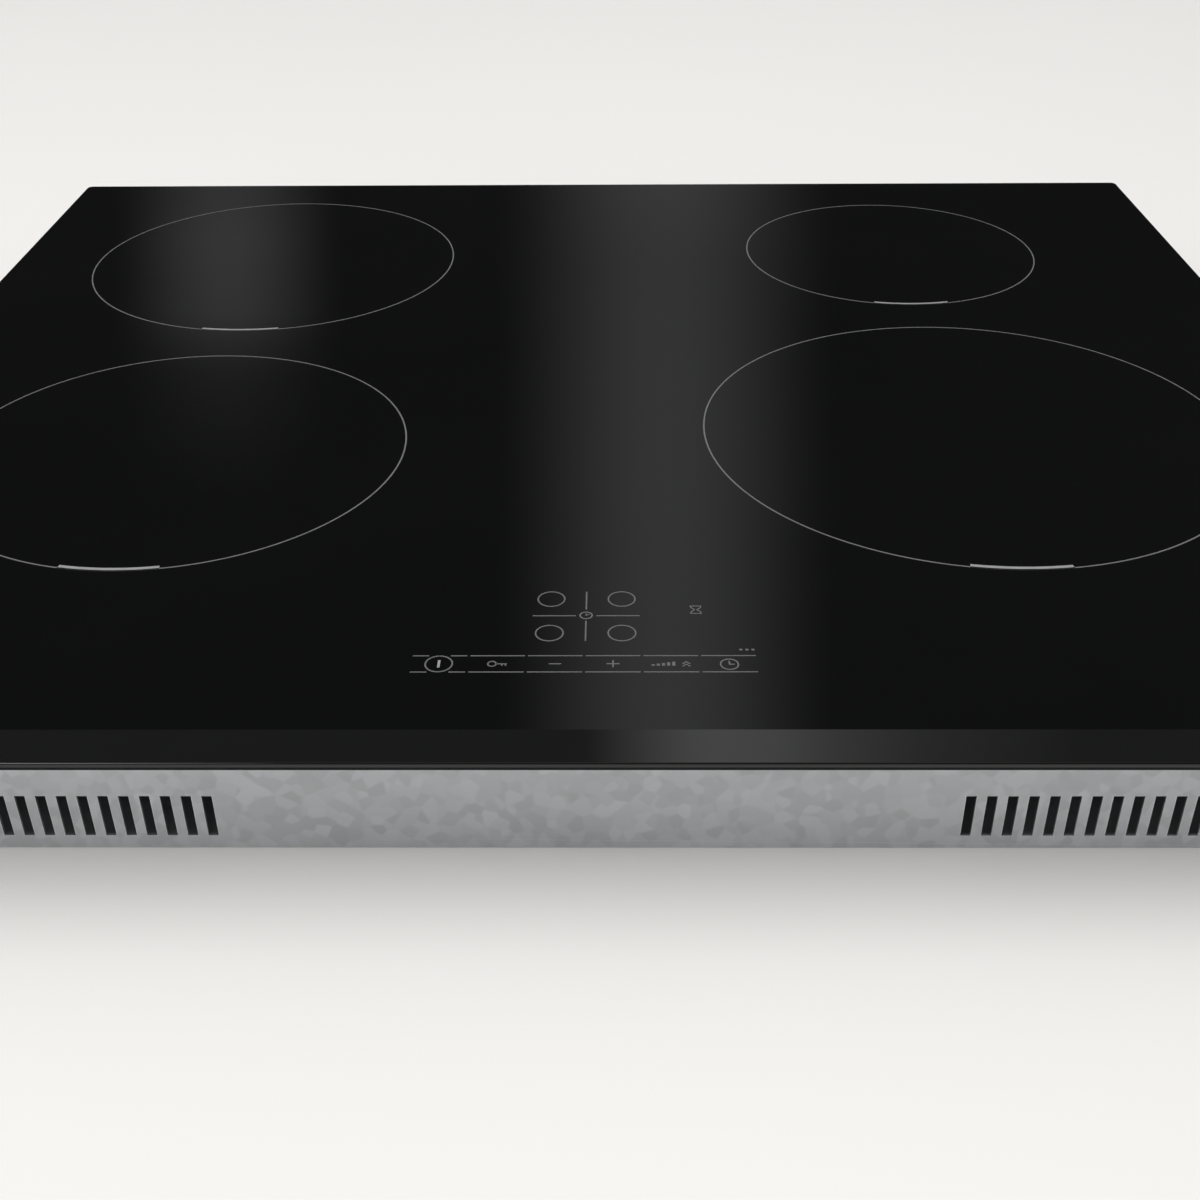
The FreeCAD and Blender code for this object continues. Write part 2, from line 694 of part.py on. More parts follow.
def power_transistors():
    """Four packages clamped to the outer side of each heat sink."""
    package = fuse(
        box(5, 15.6, 14, z=f"{BOARD_TOP} + 2.5"),
        *[box(0.7, 1.2, 4, y=k * 5.4, z=BOARD_TOP) for k in (-1, 0, 1)],
    )
    x = size("board_x") + 8 + size("sink_width") / 2 + 2.5
    places = [at(side * x, size("sink_y") + k * 32) for name, side in SIDES for k in (-1.5, -0.5, 0.5, 1.5)]
    keep(copies(package, places), "power_transistors")


def board_capacitors():
    """Film capacitors of the resonant circuits and of the mains filter."""
    can = box(32, 15, 15, z=BOARD_TOP)
    places = [
        at(side * (size("board_x") + dx), size("board_y") + dy)
        for name, side in SIDES for dx, dy in ((-52, 70), (-52, 40), (-52, 10), (20, -100))
    ]
    keep(copies(can, places), "board_capacitors")


def filter_chokes():
    """A toroid choke lying on each board."""
    toroid = doc.addObject("Part::Torus", "Torus")
    bind(toroid, Radius1=11, Radius2=5, z=f"{BOARD_TOP} + 5.05")
    places = [at(side * (size("board_x") - 30), size("board_y") - 100) for name, side in SIDES]
    keep(copies(toroid, places), "filter_chokes")


# ---- blowers ----

def blower_housing(name, side):
    """The scroll round one wheel: air enters from below and leaves towards the heat sink."""
    high = "scroll_high"
    duct_x = mirrored_x(side, "scroll_radius - duct_width / 2")
    shell = fuse(
        cylinder("scroll_radius", high, z="scroll_low"),
        box("duct_width", "duct_reach", high, duct_x, "-duct_reach / 2", "scroll_low"),
    )
    room = fuse(
        cylinder("scroll_radius - scroll_wall", f"{high} - 2 * scroll_wall", z="scroll_low + scroll_wall"),
        box("duct_width - 2 * scroll_wall", "duct_reach + 2", f"{high} - 2 * scroll_wall", duct_x,
            "-duct_reach / 2 - 1", "scroll_low + scroll_wall"),
    )
    mouth = cylinder("intake_radius", "scroll_wall + 1", z="scroll_low - 0.5")
    housing = cut(shell, room, mouth)
    keep(bind(housing, x=mirrored_x(side, "board_x"), y="blower_y"), f"blower_housing_{name}")


WHEEL_TOP = "(wheel_low + wheel_high)"
CUP_LOW = "(wheel_low + 3.5)"


def blower_wheel(name, side):
    """The bladed wheel with its outer-rotor cup and its pressed-in shaft."""
    body = new_body(f"wheel_blank_{name}")
    disc = new_sketch(body, lift=f"{WHEEL_TOP} - 1.2")
    circle(disc, "wheel_radius")
    circle(disc, "cup_radius - cup_wall")
    grow(body, disc, 1.2)
    cup = new_sketch(body, lift=CUP_LOW)
    circle(cup, "cup_radius")
    circle(cup, "cup_radius - cup_wall")
    grow(body, cup, f"{WHEEL_TOP} - {CUP_LOW}")
    floor = new_sketch(body, lift=CUP_LOW)
    circle(floor, "cup_radius")
    circle(floor, "shaft_radius")
    grow(body, floor, 1.6)
    blade = new_sketch(body, lift="wheel_low + 0.6", x="wheel_radius - blade_long / 2 - 0.4")
    angle = size("blade_angle") * side
    blade.AttachmentOffset = Placement(blade.AttachmentOffset.Base, Rotation(Vector(0, 0, 1), angle))
    rectangle(blade, "blade_long", "blade_thick")
    repeat_around(body, grow(body, blade, "wheel_high - 1"), "blade_count")
    ring = new_sketch(body, lift="wheel_low")
    circle(ring, "wheel_radius")
    circle(ring, "wheel_radius - 4")
    grow(body, ring, 1.4)
    PARTS.remove(body)
    shaft = cylinder("shaft_radius", "12.6", z=CUP_LOW)
    wheel = copies_of(f"blower_wheel_{name}", body, shaft)
    wheel.Placement = at(side * size("board_x"), size("blower_y"))


def copies_of(label, *sources):
    """Several shapes as one sub-part of separate solids."""
    doc.recompute()
    obj = doc.addObject("Part::Feature", "Group")
    obj.Shape = Part.makeCompound([solid for source in sources for solid in source.Shape.Solids])
    return keep(obj, label)


def blower_motor(name, side):
    """The stator that hangs from the housing's roof inside the wheel's cup."""
    roof = "(scroll_low + scroll_high - scroll_wall)"
    stator = cylinder("stator_radius", 8, z=f"{roof} - 10.6")
    neck = cylinder(7, 3, z=f"{roof} - 3")
    bore = cylinder("shaft_radius + shaft_play", 20, z=f"{roof} - 18")
    motor = cut(fuse(stator, neck), bore)
    keep(bind(motor, x=mirrored_x(side, "board_x"), y="blower_y"), f"blower_motor_{name}")


# ---- mains terminal box ----

REAR = "(case_depth / 2)"


def terminal_box():
    """The plastic chamber in the rear wall, with a hatch and two ears for its cover."""
    y = f"{REAR} - terminal_depth / 2"
    outer = box("terminal_width", "terminal_depth", "terminal_high", "terminal_x", y, "terminal_low")
    room = box("terminal_width - 2 * terminal_wall", "terminal_depth - 2 * terminal_wall",
               "terminal_high - 2 * terminal_wall", "terminal_x", y, "terminal_low + terminal_wall")
    hatch = box("hatch_width", 8, "hatch_high", "hatch_x", REAR, "terminal_low + 3")
    trough = box("hatch_width + 5", 3, 8, "hatch_x", f"{REAR} + 0.7", "hinge_z - 4")
    gland = cylinder("gland_body + 0.1", 8, "gland_x", f"{REAR} - 6", "gland_z", "y")
    front = f"{REAR} - terminal_depth - 2"
    lead_holes = [
        cylinder("core_radius + 0.4", 8, f"hatch_x + {10 * k}", front, "core_z", "y") for k in POLES
    ]
    chamber = cut(outer, room, hatch, trough, gland, *lead_holes)
    ears = [
        box(1.6, 3.4, 4.4, f"hatch_x + {s} * (hatch_width / 2 + 2.6 + 0.8)", f"{REAR} + 0.2",
            "hinge_z - 2.2") for s in (-1, 1)
    ]
    holes = cylinder("hinge_pin + hinge_play", "hatch_width + 12", "hatch_x - hatch_width / 2 - 6",
                     "hinge_y", "hinge_z", "x")
    keep(cut(fuse(chamber, *ears), holes), "terminal_box")


def terminal_cover():
    """The hinged hatch cover with its barrel and pins."""
    barrel = cylinder("hinge_barrel", "hatch_width + 4.4", "hatch_x - hatch_width / 2 - 2.2", "hinge_y",
                      "hinge_z", "x")
    pins = cylinder("hinge_pin", "hatch_width + 8", "hatch_x - hatch_width / 2 - 4", "hinge_y", "hinge_z",
                    "x")
    plate = box("hatch_width + 4.4", "cover_thick", "terminal_low + terminal_high - hinge_z - 0.6",
                "hatch_x", f"{REAR} + 0.2 + cover_thick / 2", "hinge_z")
    lip = box(14, 1.2, 2, "hatch_x", f"{REAR} + 0.4 + cover_thick", "terminal_low + terminal_high - 2.8")
    keep(fuse(barrel, pins, plate, lip), "terminal_cover")


def terminal_block():
    """The five-way block that takes the mains cores, with its poles' brass clamps cut clear."""
    y = f"{REAR} - terminal_depth + terminal_wall + 8"
    low = "terminal_low + terminal_wall"
    body = box(52, 14, 13, "hatch_x", y, low)
    mouths = [cylinder(1.8, 12, x=f"hatch_x + {k * 10}", y=y, z="core_z", along="y") for k in POLES]
    wells = [cylinder(2.2, 9, x=f"hatch_x + {k * 10}", y=y, z="core_z + 1") for k in POLES]
    keep(cut(body, *mouths, *wells), "terminal_block")


def terminal_screws():
    """Clamp screws in the wells of the terminal block."""
    y = size("case_depth") / 2 - size("terminal_depth") + size("terminal_wall") + 8
    low = size("terminal_low") + size("terminal_wall")
    slotted = cut(cylinder(2, 3.2), box(4.2, 0.7, 2, z=2.4))
    places = [at(size("hatch_x") + 10 * k, y, low + 10, angle=20 * k) for k in POLES]
    keep(copies(slotted, places), "terminal_screws")


def cable_gland():
    """The mains cable's gland in the rear wall, with its lock nut inside the chamber."""
    inside = f"{REAR} - 8"
    flange = cylinder("gland_flange", 2, "gland_x", REAR, "gland_z", "y")
    barrel = cylinder("gland_body", 10, "gland_x", inside, "gland_z", "y")
    bore = cylinder("gland_bore", 14, "gland_x", f"{inside} - 1", "gland_z", "y")
    gland = cut(fuse(flange, barrel), bore)
    prism = doc.addObject("Part::Prism", "Prism")
    prism.Polygon = 6
    prism.Placement = Placement(Vector(), TURNS["y"])
    bind(prism, Circumradius="gland_body + 1.9", Height=3, x="gland_x", y=f"{REAR} - 5.4", z="gland_z")
    nut = cut(prism, cylinder("gland_body + 0.05", 5, "gland_x", f"{REAR} - 6.4", "gland_z", "y"))
    copies_of("cable_gland", gland, nut)


# ---- touch control ----

def control_carrier():
    """The plastic tray on four legs that holds the control board under the glass."""
    wide, deep = "(control_width + 2 * control_wall + 1)", "(control_depth + 2 * control_wall + 1)"
    outer = box(wide, deep, 6, 0, "control_y", "control_floor")
    inner = box("control_width + 1", "control_depth + 1", 6, 0, "control_y", "control_floor + control_wall")
    stands = [
        cylinder(3, "control_board_low - bridge_top", f"{i} * (control_width / 2 - 6)",
                 f"control_y + {j} * (control_depth / 2 - 6)", "bridge_top")
        for i in (-1, 1) for j in (-1, 1)
    ]
    passage = cylinder("lead_hole - 1", 6, "control_lead_x", "control_y", "control_floor - 2")
    keep(fuse(cut(outer, inner, passage), *stands), "control_carrier")


def control_board():
    keep(box("control_width", "control_depth", "board_thick", 0, "control_y", "control_board_low"),
         "control_board")


def key_places():
    """Where the fingers touch: six keys in a row and four zone keys above them."""
    row = [(size("key_row_x") + size("key_pitch") * (k - 2.5), size("key_row_y")) for k in range(6)]
    zones = [
        (size("selector_x") + i * size("selector_dx"), size("selector_y") + j * size("selector_dy"))
        for i in (-1, 1) for j in (-1, 1)
    ]
    return row, zones


def touch_springs():
    """The sensing springs that press against the underside of the glass."""
    low = size("control_board_low") + size("board_thick") + 0.4
    spring = coiled_wire(2.6, 0.3, 3, low, 3.3)
    row, zones = key_places()
    outward = [(x * 2.1, y) for x, y in zones]
    keep(copies(spring, [at(x, y) for x, y in row + outward]), "touch_springs")


def digit_displays():
    """Digit modules that shine through the glass: one in each zone key, and the timer's pair."""
    module = box(7, 4.6, 3.9, z="control_board_low + board_thick")
    row, zones = key_places()
    timer = [(42 + k * 7.5, size("selector_y") - 4) for k in (0, 1)]
    keep(copies(module, [at(x, y) for x, y in zones + timer]), "digit_displays")


# ---- side clips ----

def clip_feet():
    """The fixed feet of the two side clips, each with its screw."""
    wall = size("case_width") / 2
    foot = box("clip_gauge", "clip_width", "clip_fold - clip_low - 0.6", "clip_gauge / 2", 0, "clip_low")
    hole = cylinder("screw_hole", 4, x=-2, z="clip_low + 6", along="x")
    fixing = bind(screw(4), x="clip_gauge", z="clip_low + 6")
    doc.recompute()
    places = [at(wall, size("clip_y")), at(-wall, size("clip_y"), angle=180)]
    foot_pair = copies(cut(foot, hole), places)
    screw_pair = copies(fixing, places)
    copies_of("clip_feet", foot_pair, screw_pair)


def clip_leaf(name, side):
    """The springy leaf that pushes against the worktop's cut-out; it folds at its lower edge."""
    blade = box("clip_gauge", "clip_width", "clip_reach", 0, 0, 0)
    roll = cylinder(0.55, "clip_width", 0, "-clip_width / 2", "clip_reach", "y")
    heel = cylinder("clip_gauge / 2", "clip_width", 0, "-clip_width / 2", 0, "y")
    doc.recompute()
    leaf = fuse(blade, roll, heel)
    doc.recompute()
    x = side * (size("case_width") / 2 + size("clip_gauge") / 2 + 0.35)
    leaf.Placement = at(x, size("clip_y"), size("clip_fold"), side * size("clip_lean"), (0, 1, 0))
    keep(leaf, f"clip_leaf_{name}")


# ---- wiring ----

def coil_leads():
    """Two leads per coil, from the bridge's holes down to the board of that side."""
    run_z, land_z = size("lead_z"), size("board_low") + size("board_thick")
    for name in COILS:
        x, y = size(f"{name}_x"), size(f"{name}_y")
        for step in (-1, 1):
            foot = x + step * size("lead_apart")
            path = [Vector(foot, y, size("lead_end_z")), Vector(foot, y, run_z)]
            if name.startswith("front"):
                land = Vector(foot, -110, run_z)
            else:
                turn_y = 50 if abs(foot) > abs(x) else 60
                path.append(Vector(foot, turn_y, run_z))
                land = Vector(math.copysign(112, x), turn_y, run_z)
            yield path + [land, Vector(land.x, land.y, land_z)]


def mains_cores():
    """Four cores from the terminal block, two to each board."""
    z, land_z = size("core_z"), size("board_low") + size("board_thick")
    start_y = size("case_depth") / 2 - size("terminal_depth") + size("terminal_wall") + 1
    edge = size("board_x") - size("tray_width") / 2 + 9
    for k, (pole, side, turn_y) in enumerate(((-2, -1, 60), (-1, -1, 54), (1, 1, 54), (2, 1, 60))):
        x = size("hatch_x") + 10 * pole
        yield [
            Vector(x, start_y, z),
            Vector(x, turn_y, z),
            Vector(side * edge, turn_y, z),
            Vector(side * edge, turn_y, land_z),
        ]


def wiring_harness():
    """The coil leads, the mains cores and the control board's lead, each a separate wire."""
    solids = [lead(points, size("lead_radius"), 2) for points in coil_leads()]
    solids += [lead(points, size("core_radius"), 4) for points in mains_cores()]
    x, y, land_x = size("control_lead_x"), size("control_y"), size("board_x") - size("tray_width") / 2 + 9
    control = [Vector(x, y, 41), Vector(x, y, 18), Vector(land_x, y, 18), Vector(land_x, y, 6.8)]
    solids.append(lead(control, 1.5, 4))
    obj = doc.addObject("Part::Feature", "Group")
    obj.Shape = Part.makeCompound(solids)
    keep(obj, "wiring_harness")


def build():
    glass_top()
    glass_print()
    worktop_seal()
    glass_bond()
    glass_frame()
    frame_screws()
    base_pan()
    rating_label()
    spring = coil_spring()
    for name in COILS:
        coil_carrier(name)
        coil_winding(name)
        ferrite_bars(name)
        insulation_pad(name)
        temperature_sensor(name)
        coil_springs(name, spring)
    coil_bridge()
    for name, side in SIDES:
        inverter_board(name, side)
        heat_sink(name, side)
        blower_housing(name, side)
        blower_wheel(name, side)
        blower_motor(name, side)
        clip_leaf(name, side)
    board_trays()
    power_transistors()
    board_capacitors()
    filter_chokes()
    terminal_box()
    terminal_cover()
    terminal_block()
    terminal_screws()
    cable_gland()
    control_carrier()
    control_board()
    touch_springs()
    digit_displays()
    clip_feet()
    wiring_harness()


def export():
    doc.recompute()
    for obj in doc.Objects:
        if {"Invalid", "Error"} & set(obj.State):
            raise RuntimeError(f"{obj.Name} ({obj.Label}) failed: {obj.State}")
    os.makedirs("parts", exist_ok=True)
    for obj in PARTS:
        if obj.Shape.isNull() or not obj.Shape.isValid() or not obj.Shape.Solids:
            raise RuntimeError(f"{obj.Label} has no valid shape")
    for obj in PARTS:
        obj.Shape.exportStep(f"parts/{obj.Label}.step")
    print(len(PARTS), "parts")


build()
export()
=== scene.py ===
"""Looks of the built-in induction hob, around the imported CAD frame. Metres; +Z up; the front is -Y."""

import json
import math

import bmesh
import bpy
from mathutils import Matrix, Vector


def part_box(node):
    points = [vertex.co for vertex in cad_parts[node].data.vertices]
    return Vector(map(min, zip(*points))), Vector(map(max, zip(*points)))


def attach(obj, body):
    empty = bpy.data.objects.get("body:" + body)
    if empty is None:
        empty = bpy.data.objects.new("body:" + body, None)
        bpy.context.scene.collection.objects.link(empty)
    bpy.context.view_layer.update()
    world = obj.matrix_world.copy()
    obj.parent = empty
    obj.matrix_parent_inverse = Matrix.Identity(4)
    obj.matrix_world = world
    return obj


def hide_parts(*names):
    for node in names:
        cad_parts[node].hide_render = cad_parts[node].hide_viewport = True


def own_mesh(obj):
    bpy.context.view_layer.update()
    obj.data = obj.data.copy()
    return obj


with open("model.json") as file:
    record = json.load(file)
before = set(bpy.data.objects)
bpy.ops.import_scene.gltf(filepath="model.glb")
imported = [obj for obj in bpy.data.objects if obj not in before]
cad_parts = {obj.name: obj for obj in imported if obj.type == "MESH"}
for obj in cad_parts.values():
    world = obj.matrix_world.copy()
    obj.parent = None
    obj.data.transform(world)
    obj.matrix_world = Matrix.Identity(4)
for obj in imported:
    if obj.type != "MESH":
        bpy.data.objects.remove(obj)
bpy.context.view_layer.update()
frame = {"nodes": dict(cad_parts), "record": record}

MM = 0.001
CASE = "case"
COILS = ("front_left", "rear_left", "rear_right", "front_right")
SIDES = (("left", -1), ("right", 1))
GLASS_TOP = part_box("glass_top")[1].z
PRINT_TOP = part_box("glass_print")[1].z


# ---------------------------------------------------------------- shader nodes

class Shader:
    """A material under construction: short calls that add and link nodes."""

    def __init__(self, name):
        self.material = bpy.data.materials.new(name)
        self.material.use_nodes = True
        self.tree = self.material.node_tree
        self.bsdf = self.tree.nodes["Principled BSDF"]
        self.place = self.add("ShaderNodeTexCoord").outputs["Object"]

    def add(self, kind, **settings):
        node = self.tree.nodes.new(kind)
        for key, value in settings.items():
            setattr(node, key, value)
        return node

    def link(self, source, target):
        self.tree.links.new(source, target)

    def feed(self, socket, value):
        """Links value if it is a socket, or sets it if it is a plain number or colour."""
        if isinstance(value, bpy.types.NodeSocket):
            self.link(value, socket)
        else:
            socket.default_value = value

    def stretch(self, scale, turn=(0, 0, 0)):
        """Object coordinates scaled per axis, for a pattern drawn out along the axis of least scale."""
        node = self.add("ShaderNodeMapping")
        self.link(self.place, node.inputs["Vector"])
        node.inputs["Scale"].default_value = scale
        node.inputs["Rotation"].default_value = turn
        return node.outputs["Vector"]

    def noise(self, scale, detail=3.0, rough=0.5, where=None, warp=0.0):
        node = self.add("ShaderNodeTexNoise")
        self.link(where or self.place, node.inputs["Vector"])
        node.inputs["Scale"].default_value = scale
        node.inputs["Detail"].default_value = detail
        node.inputs["Roughness"].default_value = rough
        node.inputs["Distortion"].default_value = warp
        return node.outputs["Fac"]

    def cells(self, scale, output="Distance", spread=1.0, melt=0.0):
        """Irregular cells; melt runs their borders into each other."""
        node = self.add("ShaderNodeTexVoronoi", feature="SMOOTH_F1" if melt else "F1")
        self.link(self.place, node.inputs["Vector"])
        node.inputs["Scale"].default_value = scale
        node.inputs["Randomness"].default_value = spread
        if melt:
            node.inputs["Smoothness"].default_value = melt
        return node.outputs[output]

    def waves(self, scale, direction, warp=0.0, profile="SIN"):
        node = self.add("ShaderNodeTexWave", wave_profile=profile, bands_direction=direction)
        self.link(self.place, node.inputs["Vector"])
        node.inputs["Scale"].default_value = scale
        node.inputs["Distortion"].default_value = warp
        return node.outputs["Fac"]

    def ramp(self, value, stops):
        """A colour ramp: stops are (position, grey or colour)."""
        node = self.add("ShaderNodeValToRGB")
        self.link(value, node.inputs["Fac"])
        points = node.color_ramp.elements
        while len(points) < len(stops):
            points.new(0.5)
        for point, (position, tone) in zip(points, stops):
            point.position = position
            point.color = (tone, tone, tone, 1) if isinstance(tone, (int, float)) else (*tone, 1)
        return node.outputs["Color"]

    def span(self, value, low, high, start=0.0, end=1.0):
        """Maps value from start..end to low..high."""
        node = self.add("ShaderNodeMapRange")
        self.link(value, node.inputs["Value"])
        for key, number in (("From Min", start), ("From Max", end), ("To Min", low), ("To Max", high)):
            node.inputs[key].default_value = number
        return node.outputs["Result"]

    def maths(self, operation, a, b):
        node = self.add("ShaderNodeMath", operation=operation)
        self.feed(node.inputs[0], a)
        self.feed(node.inputs[1], b)
        return node.outputs[0]

    def mix(self, amount, a, b):
        """Mixes two colours; each of the three may be a socket or plain."""
        node = self.add("ShaderNodeMix", data_type="RGBA")
        self.feed(node.inputs["Factor"], amount)
        self.feed(node.inputs["A"], a if isinstance(a, bpy.types.NodeSocket) else (*a, 1))
        self.feed(node.inputs["B"], b if isinstance(b, bpy.types.NodeSocket) else (*b, 1))
        return node.outputs["Result"]

    def edge_wear(self, width):
        """1 on sharp edges and 0 on flat faces, from how far a rounded normal leans off the true one."""
        flat, sharp = 0.02, 0.25
        bevel = self.add("ShaderNodeBevel", samples=4)
        bevel.inputs["Radius"].default_value = width
        geometry = self.add("ShaderNodeNewGeometry")
        dot = self.add("ShaderNodeVectorMath", operation="DOT_PRODUCT")
        self.link(bevel.outputs["Normal"], dot.inputs[0])
        self.link(geometry.outputs["Normal"], dot.inputs[1])
        return self.span(self.maths("SUBTRACT", 1.0, dot.outputs["Value"]), 0.0, 1.0, flat, sharp)

    def bump(self, height, strength, distance):
        node = self.add("ShaderNodeBump")
        self.link(height, node.inputs["Height"])
        node.inputs["Strength"].default_value = strength
        node.inputs["Distance"].default_value = distance
        last = self.bsdf.inputs["Normal"]
        if last.is_linked:
            self.link(last.links[0].from_socket, node.inputs["Normal"])
        self.link(node.outputs["Normal"], last)
        return self

    def finish(self, **sockets):
        """Sets or links the shader's own sockets by name, with _ for a blank."""
        for key, value in sockets.items():
            socket = self.bsdf.inputs[key.replace("_", " ")]
            if isinstance(value, tuple) and len(value) == 3:
                value = (*value, 1)
            self.feed(socket, value)
        return self.material


def glass_ceramic():
    s = Shader("black_glass_ceramic")
    film = s.noise(5.5, 4, 0.6)
    wiped = s.noise(60, 3, 0.5, s.stretch((1, 0.15, 1), (0, 0, 0.5)))
    smear = s.maths("MULTIPLY", film, wiped)
    colour = s.ramp(film, [(0.3, (0.0028, 0.0029, 0.0030)), (0.75, (0.0036, 0.0037, 0.0038))])
    s.bump(s.noise(9, 2, 0.4), 0.02, 0.0004)
    return s.finish(Base_Color=colour, Roughness=s.span(smear, 0.035, 0.075, 0.1, 0.5), IOR=1.52)


def enamel(tone, name):
    s = Shader(name)
    dots = s.cells(2600)
    patch = s.noise(240, 2)
    grey = s.ramp(patch, [(0.25, tone * 0.86), (0.8, tone * 1.08)])
    s.bump(dots, 0.25, 0.00002)
    return s.finish(Base_Color=grey, Roughness=s.span(dots, 0.42, 0.62), IOR=1.5)


def galvanised():
    s = Shader("galvanised_steel")
    spangle = s.cells(230, "Color", melt=0.3)
    cell = s.add("ShaderNodeSeparateColor")
    s.link(spangle, cell.inputs[0])
    rolled = s.noise(900, 2, 0.6, s.stretch((0.03, 1, 1)))
    cloud = s.noise(9, 4, 0.6)
    flake = s.span(cell.outputs[0], -0.13, 0.13)
    level = s.maths("ADD", s.span(cloud, 0.40, 0.54), flake)
    worn = s.edge_wear(0.0005)
    steel = s.mix(level, (0.30, 0.31, 0.32), (0.66, 0.68, 0.70))
    colour = s.mix(worn, steel, (0.78, 0.79, 0.80))
    rough = s.maths("ADD", s.span(cell.outputs[1], 0.30, 0.42), s.span(rolled, -0.05, 0.06))
    s.bump(rolled, 0.12, 0.00004)
    s.bump(s.noise(14, 2), 0.15, 0.0004)
    return s.finish(Base_Color=colour, Roughness=rough, Metallic=0.8)


def metal(name, dark, light, rough, grain, stretch, metallic=1.0):
    """Drawn or rolled metal, with fine lines along one direction and bright edges."""
    s = Shader(name)
    lines = s.noise(grain, 3, 0.6, s.stretch(stretch))
    cloud = s.noise(30, 3)
    worn = s.edge_wear(0.0003)
    base = s.mix(cloud, dark, light)
    colour = s.mix(worn, base, tuple(min(1.0, c * 1.25) for c in light))
    s.bump(lines, 0.12, 0.00003)
    brushed = s.span(lines, rough - 0.07, rough + 0.09)
    return s.finish(Base_Color=colour, Roughness=brushed, Metallic=metallic)


def plastic(name, tone, rough, grain=1500, strength=0.12, worn=1.6):
    """Moulded plastic: fine spark-eroded grain, slight clouding, paler rubbed edges."""
    s = Shader(name)
    texture = s.cells(grain)
    cloud = s.noise(45, 3)
    dark = tuple(c * 0.86 for c in tone)
    light = tuple(min(1.0, c * 1.12 + 0.002) for c in tone)
    rubbed = tuple(min(1.0, c * worn + 0.01) for c in tone)
    colour = s.mix(s.edge_wear(0.0004), s.mix(cloud, dark, light), rubbed)
    s.bump(texture, strength, 0.00004)
    return s.finish(Base_Color=colour, Roughness=s.span(texture, rough - 0.08, rough + 0.1))


def foam_with_painted_shade():
    s = Shader("foam_seal")
    pores = s.cells(1700)
    big = s.cells(600)
    # Black foam, its grey set darker than the foam itself so that the band under the glass edge reads dark:
    # partly the seal's own colour, partly painted shade.
    colour = s.ramp(pores, [(0.1, 0.003), (0.6, 0.013)])
    s.bump(pores, 0.6, 0.0002)
    s.bump(big, 0.3, 0.0002)
    return s.finish(Base_Color=colour, Roughness=s.span(big, 0.8, 0.98), Specular_IOR_Level=0.15)


def silicone():
    s = Shader("silicone")
    roll = s.noise(70, 3)
    s.bump(roll, 0.3, 0.0004)
    colour = s.ramp(roll, [(0.2, 0.012), (0.8, 0.03)])
    return s.finish(Base_Color=colour, Roughness=s.span(roll, 0.28, 0.45))


def foil():
    s = Shader("label_foil")
    cloud = s.noise(60, 3)
    paper = s.noise(1200, 2)
    colour = s.ramp(cloud, [(0.2, (0.74, 0.75, 0.76)), (0.8, (0.83, 0.84, 0.85))])
    s.bump(paper, 0.08, 0.00003)
    s.bump(cloud, 0.2, 0.0003)
    return s.finish(Base_Color=colour, Roughness=s.span(paper, 0.3, 0.42), Metallic=0.35)


def litz(name):
    """Enamelled copper strands, twisted round the wire."""
    s = Shader(name)
    strands = s.waves(420, "DIAGONAL", 2.0)
    cloud = s.noise(80, 3)
    colour = s.mix(strands, (0.26, 0.085, 0.028), (0.72, 0.30, 0.11))
    tone = s.mix(s.span(cloud, 0.0, 0.35), colour, (0.45, 0.16, 0.05))
    s.bump(strands, 0.7, 0.0003)
    return s.finish(Base_Color=tone, Roughness=s.span(strands, 0.42, 0.28), Metallic=0.75)


def ferrite():
    s = Shader("ferrite")
    grit = s.cells(2200)
    cloud = s.noise(50, 4)
    colour = s.mix(cloud, (0.030, 0.030, 0.033), (0.075, 0.075, 0.080))
    chipped = s.mix(s.edge_wear(0.0004), colour, (0.16, 0.16, 0.165))
    s.bump(grit, 0.35, 0.00008)
    return s.finish(Base_Color=chipped, Roughness=s.span(grit, 0.5, 0.75), Metallic=0.2)


def felt():
    s = Shader("fibre_felt")
    fibre = s.noise(900, 6, 0.75, s.stretch((1, 0.35, 1), (0, 0, 0.7)), 1.5)
    clump = s.noise(110, 4)
    colour = s.mix(fibre, (0.46, 0.44, 0.39), (0.68, 0.66, 0.60))
    tone = s.mix(s.span(clump, 0.0, 0.3), colour, (0.50, 0.47, 0.40))
    s.bump(fibre, 0.8, 0.0004)
    s.bump(clump, 0.4, 0.0008)
    return s.finish(Base_Color=tone, Roughness=s.span(fibre, 0.85, 1.0), Sheen_Weight=0.3)


def circuit():
    """Solder mask over copper tracks, with vias."""
    s = Shader("circuit_board")
    rows = s.waves(55, "X", profile="SAW")
    columns = s.waves(38, "Y", profile="SAW")
    blocks = s.cells(42, spread=0.8)
    tracks = s.ramp(rows, [(0.46, 0.0), (0.50, 1.0), (0.62, 1.0), (0.66, 0.0)])
    cross = s.ramp(columns, [(0.40, 0.0), (0.44, 1.0), (0.52, 1.0), (0.56, 0.0)])
    where = s.ramp(s.noise(22, 1), [(0.47, 0.0), (0.50, 1.0)])
    pattern = s.mix(where, tracks, cross)
    vias = s.ramp(blocks, [(0.07, 1.0), (0.09, 0.0)])
    mask = s.mix(pattern, (0.008, 0.070, 0.028), (0.018, 0.135, 0.050))
    colour = s.mix(vias, mask, (0.62, 0.60, 0.52))
    s.bump(pattern, 0.5, 0.00008)
    return s.finish(Base_Color=colour, Roughness=s.span(s.noise(200, 2), 0.24, 0.4), Coat_Weight=0.3)


def dipped(name, tone):
    s = Shader(name)
    sag = s.noise(55, 3)
    skin = s.noise(500, 2)
    colour = s.mix(sag, tuple(c * 0.8 for c in tone), tuple(min(1.0, c * 1.15) for c in tone))
    s.bump(sag, 0.35, 0.0006)
    s.bump(skin, 0.1, 0.00005)
    return s.finish(Base_Color=colour, Roughness=s.span(skin, 0.22, 0.36))


